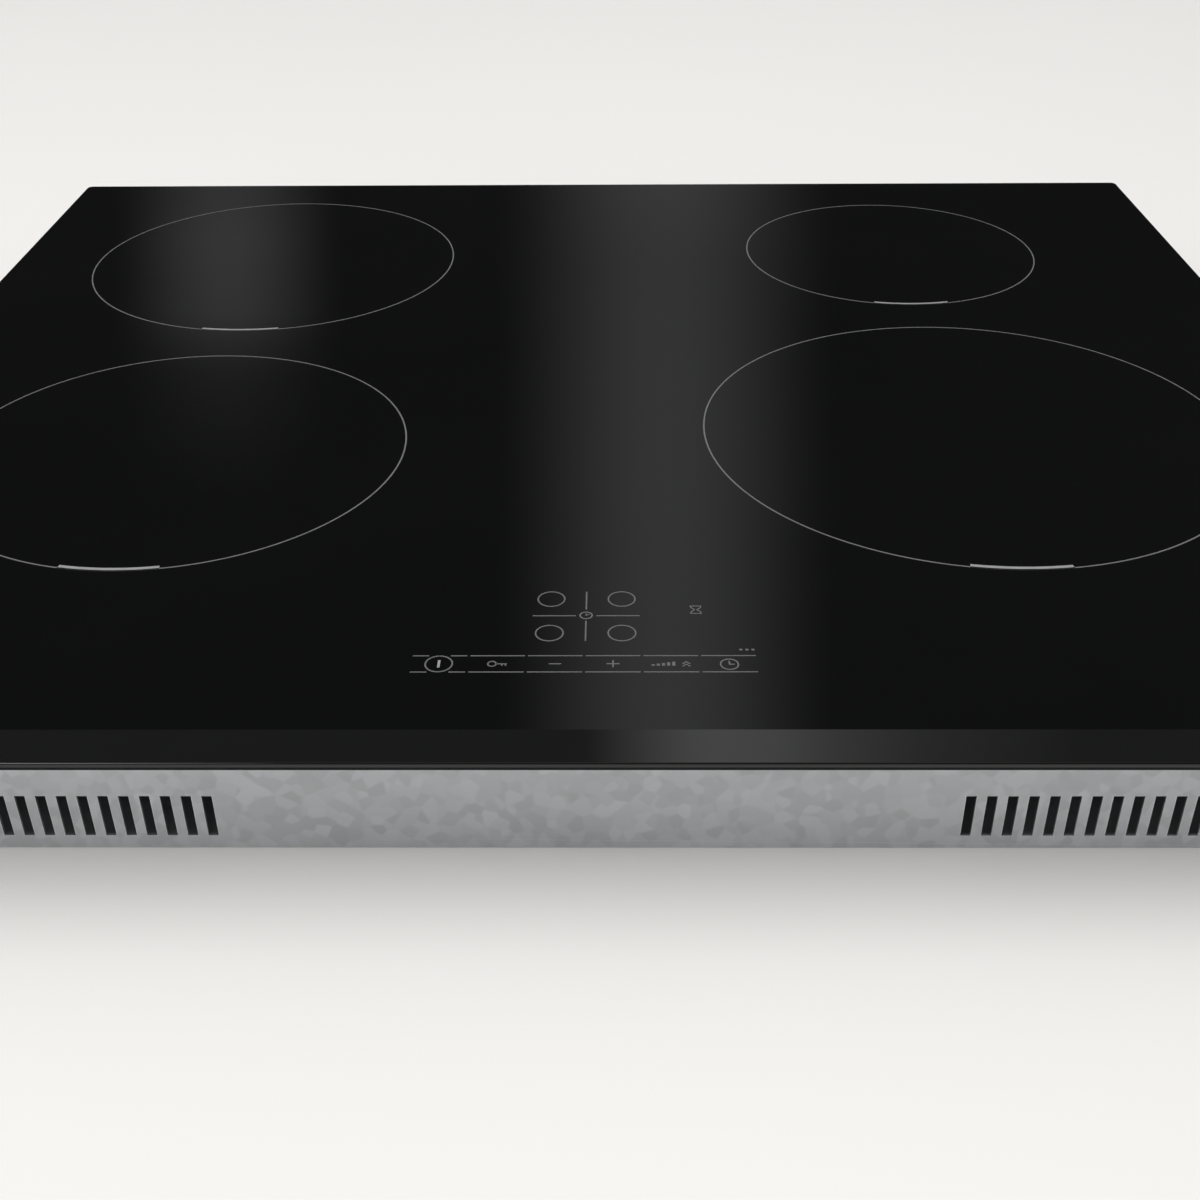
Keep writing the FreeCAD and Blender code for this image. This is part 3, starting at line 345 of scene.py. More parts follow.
def display():
    s = Shader("display_face")
    haze = s.noise(90, 2)
    colour = s.ramp(haze, [(0.2, (0.012, 0.009, 0.009)), (0.8, (0.030, 0.018, 0.018))])
    return s.finish(Base_Color=colour, Roughness=s.span(haze, 0.12, 0.25))


def wire_skin():
    s = Shader("wire_insulation")
    braid = s.waves(900, "DIAGONAL", 0.5)
    cloud = s.noise(70, 2)
    colour = s.mix(cloud, (0.50, 0.46, 0.36), (0.66, 0.62, 0.52))
    s.bump(braid, 0.35, 0.00008)
    return s.finish(Base_Color=colour, Roughness=s.span(braid, 0.5, 0.68))


MATERIALS = {
    "black_glass_ceramic": glass_ceramic(),
    "print_enamel": enamel(0.105, "print_enamel"),
    "foam_seal": foam_with_painted_shade(),
    "silicone": silicone(),
    "galvanised_steel": galvanised(),
    "screw_steel": metal(
        "screw_steel", (0.42, 0.43, 0.44), (0.60, 0.61, 0.62), rough=0.30, grain=900, stretch=(1, 1, 0.1)),
    "spring_steel": metal(
        "spring_steel", (0.40, 0.41, 0.43), (0.58, 0.59, 0.61), rough=0.27, grain=800, stretch=(1, 0.04, 1)),
    "label_foil": foil(),
    "copper_litz": litz("copper_litz"),
    "carrier_plastic": plastic("carrier_plastic", (0.060, 0.060, 0.064), 0.55),
    "ferrite": ferrite(),
    "fibre_felt": felt(),
    "sensor_white": plastic("sensor_white", (0.72, 0.70, 0.64), 0.45, 1200, 0.1, worn=1.1),
    "shield_aluminium": metal(
        "shield_aluminium", (0.62, 0.63, 0.64), (0.78, 0.79, 0.80), rough=0.36, grain=600,
        stretch=(0.03, 1, 1), metallic=0.75),
    "tray_plastic": plastic("tray_plastic", (0.055, 0.055, 0.060), 0.5),
    "circuit_board": circuit(),
    "extruded_aluminium": metal(
        "extruded_aluminium", (0.60, 0.61, 0.63), (0.74, 0.75, 0.77), rough=0.4, grain=900,
        stretch=(1, 0.02, 1), metallic=0.75),
    "chip_black": plastic("chip_black", (0.018, 0.018, 0.019), 0.42, 2500, 0.2),
    "capacitor_shell": dipped("capacitor_shell", (0.42, 0.055, 0.035)),
    "choke_core": dipped("choke_core", (0.11, 0.17, 0.07)),
    "blower_plastic": plastic("blower_plastic", (0.028, 0.028, 0.030), 0.48),
    "motor_copper": litz("motor_copper"),
    "terminal_plastic": plastic("terminal_plastic", (0.040, 0.040, 0.043), 0.5, 1300, 0.2),
    "block_plastic": plastic("block_plastic", (0.74, 0.72, 0.63), 0.4, 1300, 0.1, worn=1.08),
    "gland_plastic": plastic("gland_plastic", (0.020, 0.020, 0.021), 0.42, 1400, 0.15),
    "display_face": display(),
    "wire_insulation": wire_skin(),
}


def paint(obj, material):
    obj.data.materials.clear()
    obj.data.materials.append(material)
    return obj


for row in frame["record"]["subparts"]:
    paint(frame["nodes"][row["node"]], MATERIALS[row["material_slot"]])


# ---------------------------------------------------------------- mesh helpers

MITRE_LIMIT = 0.4


def link_object(name, data):
    obj = bpy.data.objects.new(name, data)
    bpy.context.scene.collection.objects.link(obj)
    return obj


def new_piece(name, mesh, slot, body=CASE, smooth=None, material=None):
    """Links a bmesh as a piece that rides on a body, with the slot's material unless one is given."""
    data = bpy.data.meshes.new(name)
    mesh.normal_update()
    mesh.to_mesh(data)
    mesh.free()
    obj = paint(link_object(name, data), material or MATERIALS[slot])
    if smooth is not None:
        for face in data.polygons:
            face.use_smooth = True
        data.set_sharp_from_angle(angle=math.radians(smooth))
    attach(obj, body)
    return obj


def stroke(mesh, points, width, low, high, closed=False):
    """A flat printed line of that width along 2-D points, as a thin closed solid."""
    count = len(points)
    rows = []
    for k, point in enumerate(points):
        here = Vector(point)
        before = Vector(points[k - 1]) if k or closed else None
        after = Vector(points[(k + 1) % count]) if k < count - 1 or closed else None
        into = (here - before).normalized() if before is not None else (after - here).normalized()
        out = (after - here).normalized() if after is not None else into
        side_in = Vector((-into.y, into.x))
        side_out = Vector((-out.y, out.x))
        side = (side_in + side_out).normalized()
        reach = width / 2 / max(MITRE_LIMIT, side.dot(side_in))
        a = here + side * reach
        b = here - side * reach
        corners = ((a, low), (b, low), (b, high), (a, high))
        rows.append([mesh.verts.new((p.x, p.y, z)) for p, z in corners])
    pairs = list(zip(rows, rows[1:])) + ([(rows[-1], rows[0])] if closed else [])
    for one, two in pairs:
        for k in range(4):
            j = (k + 1) % 4
            mesh.faces.new((one[k], one[j], two[j], two[k]))
    if not closed:
        mesh.faces.new(rows[0][::-1])
        mesh.faces.new(rows[-1])


def on_circle(centre, radius, angle):
    return (centre[0] + radius * math.cos(angle), centre[1] + radius * math.sin(angle))


def arc(centre, radius, start=0.0, end=360.0, steps=96):
    """Points on a circle; a full turn leaves out the last point."""
    full = abs(end - start) >= 360
    count = steps if full else steps + 1
    turn = math.radians(end - start) / steps
    first = math.radians(start)
    return [on_circle(centre, radius, first + turn * k) for k in range(count)]


def wound_wire(mesh, centre, turns, per_turn, radius_at, height_at, wide, tall):
    """A wire wound round the upright axis at centre. Radius and height follow the count of turns; the
    section is wide and tall to each side."""
    sides = 8
    rings = []
    for k in range(int(turns * per_turn) + 1):
        turn = k / per_turn
        ring = []
        for j in range(sides):
            t = 2 * math.pi * j / sides
            x, y = on_circle(centre, radius_at(turn) + wide * math.cos(t), 2 * math.pi * turn)
            ring.append(mesh.verts.new((x, y, height_at(turn) + tall * math.sin(t))))
        rings.append(ring)
    for one, two in zip(rings, rings[1:]):
        for j in range(sides):
            i = (j + 1) % sides
            mesh.faces.new((one[j], two[j], two[i], one[i]))
    mesh.faces.new(rings[0])
    mesh.faces.new(rings[-1][::-1])


def block(mesh, centre, size, bevel=0.0, turn=None):
    """A box with bevelled edges; centre and size in millimetres."""
    made = bmesh.ops.create_cube(mesh, size=1.0)["verts"]
    shape = Matrix.Diagonal((*[v * MM for v in size], 1))
    place = Matrix.Translation(Vector(centre) * MM) @ (turn or Matrix())
    bmesh.ops.transform(mesh, matrix=place @ shape, verts=made)
    if bevel:
        edges = list({edge for vert in made for edge in vert.link_edges})
        bmesh.ops.bevel(mesh, geom=edges, offset=bevel * MM, segments=2, affect="EDGES", profile=0.5)


def lathe(mesh, centre, outline, segments=32, turn=None):
    """A turned solid: the outline is (radius, height) pairs in millimetres, from axis to axis."""
    place = Matrix.Translation(Vector(centre) * MM) @ (turn or Matrix())
    rings = []
    for radius, height in outline:
        if radius == 0:
            rings.append([mesh.verts.new(place @ Vector((0, 0, height * MM)))])
            continue
        rings.append([
            mesh.verts.new(place @ Vector((
                radius * MM * math.cos(2 * math.pi * k / segments),
                radius * MM * math.sin(2 * math.pi * k / segments), height * MM)))
            for k in range(segments)
        ])
    for low, high in zip(rings, rings[1:]):
        for k in range(segments):
            j = (k + 1) % segments
            corners = [low[k % len(low)], low[j % len(low)], high[j % len(high)], high[k % len(high)]]
            mesh.faces.new(list(dict.fromkeys(corners)))


def solid(name, slot, build, body=CASE, smooth=35):
    """A piece whose shapes are added to one mesh by build(mesh)."""
    mesh = bmesh.new()
    build(mesh)
    bmesh.ops.recalc_face_normals(mesh, faces=mesh.faces)
    return new_piece(name, mesh, slot, body, smooth)


# ---------------------------------------------------------------- the print on the glass, in millimetres

RING_ENAMEL = enamel(0.125, "ring_enamel")
MARK_ENAMEL = enamel(0.235, "mark_enamel")

ZONES = {
    "front_left": (-164.0, -70.5, 90.0),
    "rear_left": (-164.0, 138.0, 90.0),
    "rear_right": (149.0, 149.5, 72.5),
    "front_right": (149.0, -55.5, 105.0),
}
RING_LINE = 0.6
MARK_WIDE = 2.1
MARK_HALF = 17.7
FRONT_MARK_ANGLE = 269.0
REAR_MARK_ANGLE = 270.0

LINE = 0.5
BAR = 0.8
ROW_X = -1.35
ROW_Y = -215.5
KEYS = 6
KEY_PITCH = 18.03
KEY_GAP = 0.95
KEY_HALF_HIGH = 4.33
POWER_NOTCH = 3.4

SELECT_X = -1.1
SELECT_Y = -188.6
SELECT_DX = 11.6
SELECT_DY = 9.98
SELECT_PLACES = [(SELECT_X + i * SELECT_DX, SELECT_Y + j * SELECT_DY) for i in (-1, 1) for j in (-1, 1)]


def printed(name, strokes, material=None):
    """One printed piece made of strokes: (points, width, closed)."""
    mesh = bmesh.new()
    for points, width, closed in strokes:
        scaled = [(x * MM, y * MM) for x, y in points]
        stroke(mesh, scaled, width * MM, GLASS_TOP, PRINT_TOP, closed)
    bmesh.ops.recalc_face_normals(mesh, faces=mesh.faces)
    return new_piece(name, mesh, "print_enamel", material=material)


def across(x0, x1, y, width=LINE):
    return ([(x0, y), (x1, y)], width, False)


def upright(x, y0, y1, width=LINE):
    return ([(x, y0), (x, y1)], width, False)


def loop(x, y, radius, steps=96, width=LINE):
    return (arc((x, y), radius, steps=steps), width, True)


def zone_prints():
    """Each zone's circle, with a short thick mark just inside it at the front."""
    pieces = []
    for zone, (x, y, radius) in ZONES.items():
        circle = loop(x, y, radius, 360, RING_LINE)
        pieces.append(printed(f"zone_ring_{zone}", [circle], RING_ENAMEL))
        spread = math.degrees(math.asin(MARK_HALF / radius))
        inside = radius + RING_LINE / 2 - MARK_WIDE / 2
        middle = FRONT_MARK_ANGLE if zone.startswith("front") else REAR_MARK_ANGLE
        front = arc((x, y), inside, middle - spread, middle + spread, 48)
        pieces.append(printed(f"zone_mark_{zone}", [(front, MARK_WIDE, False)], MARK_ENAMEL))
    return pieces


def key_rules(key_x):
    """Two broken lines above and below the keys, with a notch for the power sign."""
    half = (KEY_PITCH - KEY_GAP) / 2
    first = key_x[0]
    strokes = []
    for y in (ROW_Y - KEY_HALF_HIGH, ROW_Y + KEY_HALF_HIGH):
        strokes += [across(x - half, x + half, y) for x in key_x[1:]]
        strokes.append(across(first - half, first - POWER_NOTCH, y))
        strokes.append(across(first + POWER_NOTCH, first + half, y))
    printed("key_rules", strokes)


def lock_sign(x):
    """A key: its bow, its shank and two teeth."""
    teeth = [upright(x + dx, ROW_Y - 1.0, ROW_Y - 0.2) for dx in (1.6, 2.7)]
    printed("sign_lock", [loop(x - 1.5, ROW_Y, 1.3, 40), across(x - 0.2, x + 3.1, ROW_Y), *teeth])


def plus_sign(x):
    arms = [upright(x, ROW_Y + LINE / 2, ROW_Y + 1.9), upright(x, ROW_Y - 1.9, ROW_Y - LINE / 2)]
    printed("sign_more", [across(x - 2.0, x + 2.0, ROW_Y), *arms])


def level_sign(x):
    """Five rising bars and a double chevron."""
    strokes = [upright(x - 5.6 + 1.6 * k, ROW_Y - 1.05, ROW_Y - 0.35 + 0.35 * k, 1.0) for k in range(5)]
    for y in (ROW_Y - 0.5, ROW_Y + 0.8):
        strokes.append(([(x + 3.5, y - 0.9), (x + 4.7, y + 0.3), (x + 5.9, y - 0.9)], 0.38, False))
    printed("sign_level", strokes)


def clock_sign(x):
    y = ROW_Y - 0.3
    hands = ([(x, ROW_Y + 1.5), (x, y), (x + 1.6, y)], LINE, False)
    printed("sign_clock", [loop(x, y, 2.75, 64), hands])


def timer_dots(x=49.7, y=-207.9, pitch=1.9, half=0.5):
    printed("sign_timer_dots", [
        across(x + pitch * k - half, x + pitch * k + half, y, 0.9) for k in (-1, 0, 1)])


def zone_selector(inner=3.3, outer=17.4):
    """Four small rings round a cross, and the sign at its middle."""
    x, y = SELECT_X, SELECT_Y
    printed("selector_rings", [loop(px, py, 4.4, 80) for px, py in SELECT_PLACES])
    printed("selector_cross", [
        across(x + inner, x + outer, y), across(x - outer, x - inner, y),
        upright(x, y + 3.6, y + 14.4), upright(x, y - 14.4, y - 3.0)])
    hands = ([(x, y + 1.4), (x, y + 0.2), (x + 1.1, y + 0.9)], 0.34, False)
    printed("sign_selector", [loop(x, y + 0.2, 1.95, 48), hands])


def hourglass_sign(x=34.7, y=-185.1):
    """The right half's points go down; the left half's mirror them on the way up."""
    right_half = [(1.7, 2.2), (1.5, 1.2), (0.35, 0), (1.5, -1.2), (1.7, -2.2)]
    left_half = [(-dx, dy) for dx, dy in reversed(right_half)]
    outline = [(x + dx, y + dy) for dx, dy in right_half + left_half]
    printed("sign_hourglass", [(outline, 0.4, True)])


def glass_print():
    pieces = zone_prints()
    key_x = [ROW_X + KEY_PITCH * (k - (KEYS - 1) / 2) for k in range(KEYS)]
    power, lock, minus, plus, level, clock = key_x
    key_rules(key_x)
    printed("sign_power", [loop(power, ROW_Y, 4.2)])
    printed("sign_power_bar", [upright(power, ROW_Y - 1.95, ROW_Y + 1.95, BAR)], MARK_ENAMEL)
    lock_sign(lock)
    printed("sign_less", [across(minus - 1.95, minus + 1.95, ROW_Y)])
    plus_sign(plus)
    level_sign(level)
    clock_sign(clock)
    timer_dots()
    zone_selector()
    hourglass_sign()
    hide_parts("glass_print")


glass_print()


# ---------------------------------------------------------------- coil windings

WINDING_BORE = 0.022
WIRE_PITCH = 0.0036
WIRE_FILL = 0.49


def litz_spiral(zone):
    """A flat spiral of round wire, squeezed to the height of the CAD's solid ring."""
    low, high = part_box(f"coil_winding_{zone}")
    outer = (high.x - low.x) / 2
    turns = round((outer - WINDING_BORE) / WIRE_PITCH)
    pitch = (outer - WINDING_BORE) / turns
    middle = (low + high) / 2
    mesh = bmesh.new()
    wound_wire(mesh, middle, turns - 1, 72, lambda turn: WINDING_BORE + pitch / 2 + pitch * turn,
               lambda turn: middle.z, pitch * WIRE_FILL, (high.z - low.z) / 2)
    bmesh.ops.recalc_face_normals(mesh, faces=mesh.faces)
    winding = new_piece(f"litz_spiral_{zone}", mesh, "copper_litz", f"coil_unit_{zone}", smooth=60)
    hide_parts(f"coil_winding_{zone}")


for zone in COILS:
    litz_spiral(zone)


# ---------------------------------------------------------------- electronics, in millimetres

BOARD_TOP = 6.8
BLOWER_AT = 165
BLOWER_ROOF = 23.7
SINK_FACE = 203.9


def relays(side):
    x = side * 227

    def build(mesh):
        for y in (-28, 0, 28):
            block(mesh, (x, y, BOARD_TOP + 7.6), (20, 16, 14), 0.8)
            block(mesh, (x, y, BOARD_TOP + 0.4), (18, 14, 0.8))
            block(mesh, (x, y, BOARD_TOP + 14.7), (14, 10, 0.4), 0.15)
    return build


def electrolytics(side):
    """Capacitor cans with a rolled groove near the foot and a sunk lid."""
    outline = [(0, 0), (6.3, 0), (6.5, 0.3), (6.5, 1.6), (6.1, 2.0), (6.5, 2.4), (6.5, 13.4), (6.1, 14),
               (5.2, 14), (5.0, 13.7), (0, 13.7)]

    def build(mesh):
        for x, y in ((220, -60), (236, -60), (220, -78), (236, -78), (228, -98)):
            lathe(mesh, (side * x, y, BOARD_TOP), outline)
    return build


def packages(side):
    """Leaded integrated circuits: each is x, y, width and depth."""
    chips = ((176, -92, 10, 6), (182, -122, 14, 14), (228, 58, 12, 8), (212, -140, 8, 6),
             (100, -100, 9, 6), (232, -150, 12, 12))

    def build(mesh):
        for x, y, wide, deep in chips:
            block(mesh, (side * x, y, BOARD_TOP + 1.1), (wide, deep, 1.7), 0.2)
            count = int(wide / 1.6)
            for k in range(count):
                lead_x = side * x + (k - (count - 1) / 2) * 1.4
                for end in (-1, 1):
                    block(mesh, (lead_x, y + end * (deep / 2 + 0.5), BOARD_TOP + 0.25), (0.5, 1.2, 0.3))
    return build


def resistors(side):
    """Bodies with a collar at each end and their leads, lying along x."""
    turn = Matrix.Rotation(math.radians(90), 4, "Y")
    upper = [(1.0, 1.9), (1.15, 2.4), (1.0, 2.9), (0.3, 3.0), (0.3, 4.6), (0, 4.6)]
    outline = [(radius, -height) for radius, height in reversed(upper)] + upper
    level = BOARD_TOP + 1.4

    def build(mesh):
        for k in range(7):
            lathe(mesh, (side * 205, -180 - 4.2 * k, level), outline, 14, turn)
            lathe(mesh, (side * 190, -196 - 3.0 * (k % 4) - 12 * (k // 4), level), outline, 14, turn)
        for x, y in ((160, -200), (150, -206), (170, -208), (98, -140), (98, -146), (106, -143)):
            lathe(mesh, (side * x, y, level), outline, 14, turn)
    return build


def headers(side):
    """Plug housings where the leads meet the board: four walls and a floor each."""
    feet = (150, 178) if side < 0 else (135, 163)
    places = [(side * x, -110) for x in feet] + [(side * 112, 50), (side * 112, 60)]
    walls = ((-3.6, 0, 1.2, 8.4), (3.6, 0, 1.2, 8.4), (0, -3.6, 6, 1.2), (0, 3.6, 6, 1.2))

    def build(mesh):
        for x, y in places:
            for dx, dy, wide, deep in walls:
                block(mesh, (x + dx, y + dy, BOARD_TOP + 3), (wide, deep, 6), 0.25)
            block(mesh, (x, y, BOARD_TOP + 0.6), (6, 6, 1.2))
    return build


def clamp_bar(side):
    """The bar that holds the transistors to the heat sink, with its pads and screws."""
    screw = [(0, 0), (2.4, 0), (2.4, 0.9), (1.9, 1.5), (0.8, 1.7), (0.8, 1.1), (0, 1.1)]
    turn = Matrix.Rotation(math.radians(90 * side), 4, "Y")
    height = BOARD_TOP + 11

    def build(mesh):
        block(mesh, (side * SINK_FACE, 5, height), (1.6, 122, 5), 0.4)
        for y in (-43, -11, 21, 53):
            block(mesh, (side * (SINK_FACE + 0.2), y, height), (2.2, 9, 8), 0.5)
        for y in (-27, 5, 37):
            lathe(mesh, (side * (SINK_FACE + 0.8), y, height), screw, 24, turn)
    return build


def blower_lid(side):
    """Raised rings, ribs and screws on the roof of the scroll."""
    centre = (side * BLOWER_AT, BLOWER_AT)
    rib_middle = 29.9
    screw = [(0, 0), (2.2, 0), (2.2, 0.8), (1.6, 1.3), (0.7, 1.4), (0.7, 0.9), (0, 0.9)]

    def build(mesh):
        for radius in (20, 38.5):
            ring = [(radius, 0), (radius, 0.9), (radius + 1.2, 0.9), (radius + 1.2, 0), (radius, 0)]
            lathe(mesh, (*centre, BLOWER_ROOF - 0.3), ring, 72)
        for k in range(12):
            angle = math.radians(30 * k)
            turn = Matrix.Rotation(angle, 4, "Z")
            place = (*on_circle(centre, rib_middle, angle), BLOWER_ROOF + 0.1)
            block(mesh, place, (17.4, 1.2, 0.8), 0.2, turn)
        for k in range(3):
            angle = math.radians(90 + 120 * k)
            lathe(mesh, (*on_circle(centre, 12, angle), BLOWER_ROOF), screw, 20)
    return build


for name, side in SIDES:
    solid(f"board_relays_{name}", "block_plastic", relays(side))
    solid(f"board_electrolytics_{name}", "chip_black", electrolytics(side))
    solid(f"board_packages_{name}", "chip_black", packages(side))
    solid(f"board_resistors_{name}", "block_plastic", resistors(side))
    solid(f"board_headers_{name}", "block_plastic", headers(side))
    solid(f"transistor_clamp_{name}", "screw_steel", clamp_bar(side))
    solid(f"blower_lid_{name}", "blower_plastic", blower_lid(side))


SPRING_LOW = 27.1
SPRING_HIGH = 35.3
SPRING_RADIUS = 3.6
SPRING_WIRE = 0.4
SPRING_TURNS = 6
SPRING_FLAT = 0.6
EAR_REACH = 2.5


def spring_wire(mesh, centre):
    """One compression spring at centre, in millimetres, with a flat part turn at each end."""
    rise = SPRING_HIGH - SPRING_LOW - 2 * SPRING_WIRE

    def height_at(turn):
        part = (turn - SPRING_FLAT) / (SPRING_TURNS - 2 * SPRING_FLAT)
        return (SPRING_LOW + SPRING_WIRE + rise * min(max(part, 0), 1)) * MM

    wound_wire(mesh, (centre[0] * MM, centre[1] * MM), SPRING_TURNS, 20, lambda turn: SPRING_RADIUS * MM,
               height_at, SPRING_WIRE * MM, SPRING_WIRE * MM)


def carrier_springs(zone):
    """Three springs under the carrier's ears."""
    x, y, radius = ZONES[zone]
    first = 30 if zone.startswith("front") else 90

    def build(mesh):
        for k in range(3):
            angle = math.radians(first + 120 * k)
            spring_wire(mesh, on_circle((x, y), radius + EAR_REACH, angle))
    return build


for zone in COILS:
    springs = solid(f"carrier_springs_{zone}", "spring_steel", carrier_springs(zone), smooth=60)
    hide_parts(f"coil_springs_{zone}")
    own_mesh(springs)


# ---------------------------------------------------------------- touch control, in millimetres

TOUCH_BOARD_TOP = 42.6
DIGIT_FACE = 46.5


def control_packages(mesh):
    """Controller, drivers and passives on the touch board."""
    top = TOUCH_BOARD_TOP
    x, y = -55, -190
    lead_row = 5.5
    block(mesh, (x, y, top + 0.8), (10, 10, 1.4), 0.2)
    for k in range(10):
        along = (k - 4.5) * 0.9
        for sign in (-1, 1):
            block(mesh, (x + along, y + sign * lead_row, top + 0.2), (0.4, 1.2, 0.3))
            block(mesh, (x + sign * lead_row, y + along, top + 0.2), (1.2, 0.4, 0.3))
    for place in ((62, -190), (62, -200), (-40, -198)):
        block(mesh, (*place, top + 0.7), (6, 4, 1.2), 0.15)
    for k in range(14):
        block(mesh, (-67 + 4.3 * (k % 7), -178 - 2.6 * (k // 7), top + 0.35), (1.6, 0.8, 0.6), 0.1)


def digit_segments(mesh):
    """The seven bars of each digit module."""
    timer_places = [(42 + 7.5 * k, SELECT_Y - 4) for k in (0, 1)]
    for x, y in SELECT_PLACES + timer_places:
        for dy in (-1.7, 0, 1.7):
            block(mesh, (x, y + dy, DIGIT_FACE), (1.5, 0.25, 0.06), 0.02)
        for dx in (-1, 1):
            for dy in (-0.85, 0.85):
                block(mesh, (x + dx, y + dy, DIGIT_FACE), (0.25, 1.3, 0.06), 0.02)


solid("control_packages", "chip_black", control_packages)
solid("digit_segments", "block_plastic", digit_segments)


# ---------------------------------------------------------------- outside of the case, in millimetres

SIDE_WALL = 277.95
END_WALL = 242.95
COVER_FACE = 245.2
GLAND_X = 84
GLAND_Z = 13.5


def label_border(mesh):
    """A plain printed border and empty fields; there is no lettering."""
    low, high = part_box("rating_label")
    margin, rule, thick = 1.5, 0.35, 0.06
    x0 = low.x / MM + margin
    x1 = high.x / MM - margin
    z0 = low.z / MM + margin
    z1 = high.z / MM - margin
    y = high.y / MM
    middle = (z0 + z1) / 2
    divider = x0 + (x1 - x0) * 0.62
    for z in (z0, z1, middle):
        block(mesh, ((x0 + x1) / 2, y, z), (x1 - x0, thick, rule))
    for x in (x0, x1, divider):
        block(mesh, (x, y, middle), (rule, thick, z1 - z0))


def cover_ribs(mesh):
    """Four grip ribs along the mains cover."""
    low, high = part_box("terminal_cover")
    margin, lowest, pitch = 6, 8, 3
    x0 = low.x / MM + margin
    x1 = high.x / MM - margin
    for k in range(4):
        block(mesh, ((x0 + x1) / 2, COVER_FACE, lowest + pitch * k), (x1 - x0, 0.8, 1.0), 0.3)


def gland_grip(mesh):
    """The ribbed collar on the gland's flange."""
    collar = [(6.4, 0), (9.2, 0), (9.2, 0.5), (8.8, 0.9), (6.8, 0.9), (6.4, 0.5), (6.4, 0)]
    facing_back = Matrix.Rotation(math.radians(-90), 4, "X")
    lathe(mesh, (GLAND_X, 244.9, GLAND_Z), collar, 48, facing_back)
    ribs = 24
    for k in range(ribs):
        angle = 2 * math.pi * k / ribs
        x, z = on_circle((GLAND_X, GLAND_Z), 9.3, angle)
        block(mesh, (x, 244.6, z), (0.9, 1.0, 0.8), 0.2, Matrix.Rotation(-angle, 4, "Y"))


def case_rivets(mesh):
    """Blind rivets that join the folded corners of the pan and hold the bridge's legs."""
    head = [(0, 0.9), (0.9, 0.9), (1.1, 0.6), (2.0, 0.45), (2.5, 0.0), (0, -0.1)]
    for side in (-1, 1):
        turn = Matrix.Rotation(math.radians(90 * side), 4, "Y")
        for y in (-205, -90, 90, 205):
            lathe(mesh, (side * SIDE_WALL, y, 10), head, 24, turn)
    for end in (-1, 1):
        turn = Matrix.Rotation(math.radians(-90 * end), 4, "X")
        for x in (-262, 262):
            for z in (9, 24):
                lathe(mesh, (x, end * END_WALL, z), head, 24, turn)


solid("label_border", "print_enamel", label_border)
solid("cover_ribs", "terminal_plastic", cover_ribs, "cover")
solid("gland_grip", "gland_plastic", gland_grip)
solid("case_rivets", "screw_steel", case_rivets)


# ---------------------------------------------------------------- stage: floor and camera

FLOOR_SIZE = 60
FLOOR_DROP = 0.0002
FOCAL = 44.92
SENSOR = 36
YAW = math.radians(-0.67)
PITCH = math.radians(33.01)
ROLL = math.radians(0.43)
EYE = Vector((0.0082, -0.5940, 0.3205))


def stage_plane(name, size, material):
    mesh = bmesh.new()
    bmesh.ops.create_grid(mesh, x_segments=1, y_segments=1, size=size / 2)
    data = bpy.data.meshes.new(name)
    mesh.to_mesh(data)
    mesh.free()
    obj = paint(link_object(name, data), material)
    return obj


def floor_material():
    s = Shader("pale_floor")
    cloud = s.noise(1.2, 2)
    colour = s.ramp(cloud, [(0.2, (0.63, 0.62, 0.605)), (0.8, (0.65, 0.64, 0.625))])
    rough = s.span(s.noise(40, 2), 0.7, 0.8)
    return s.finish(Base_Color=colour, Roughness=rough, Specular_IOR_Level=0.2)


floor = stage_plane("floor", FLOOR_SIZE, floor_material())
floor.location.z = -FLOOR_DROP

forward = Vector((math.sin(YAW) * math.cos(PITCH), math.cos(YAW) * math.cos(PITCH), -math.sin(PITCH)))
level_right = Vector((math.cos(YAW), -math.sin(YAW), 0))
level_down = forward.cross(level_right)
right = level_right * math.cos(ROLL) + level_down * math.sin(ROLL)
up = -(level_down * math.cos(ROLL) - level_right * math.sin(ROLL))

lens = bpy.data.cameras.new("camera")
lens.lens = FOCAL
lens.sensor_width = SENSOR
lens.clip_start = 0.01
lens.clip_end = 100
camera = link_object("camera", lens)
camera.matrix_world = Matrix.Translation(EYE) @ Matrix((right, up, -forward)).transposed().to_4x4()
bpy.context.scene.camera = camera


# ---------------------------------------------------------------- light

def area_light(name, place, size, energy, glossy=True):
    """A soft square light that faces the origin."""
    data = bpy.data.lights.new(name, "AREA")
    data.shape = "SQUARE"
    data.size = size
    data.energy = energy
    obj = link_object(name, data)
    obj.location = place
    obj.rotation_euler = (-Vector(place)).to_track_quat("-Z", "Y").to_euler()
    obj.visible_glossy = glossy


area_light("top_soft_light", (0, -0.2, 2.6), 3.2, 40, glossy=False)
area_light("key_light", (-1.5, -1.5, 2.4), 1.2, 26)

FACET_RISE = 2.6
FACET_DEPTH = 12.5
FACET_TILT = math.atan2(FACET_RISE, FACET_DEPTH)
FACET_TOP_Y = -0.2485
CARD_AT = 2.0
CARD_SIZE = CARD_AT * SENSOR / FOCAL


def added(s, first, second):
    """Adds two shaders' light on the material's surface."""
    both = s.add("ShaderNodeAddShader")
    s.link(first.outputs[0], both.inputs[0])
    s.link(second.outputs[0], both.inputs[1])
    s.link(both.outputs[0], s.tree.nodes["Material Output"].inputs["Surface"])


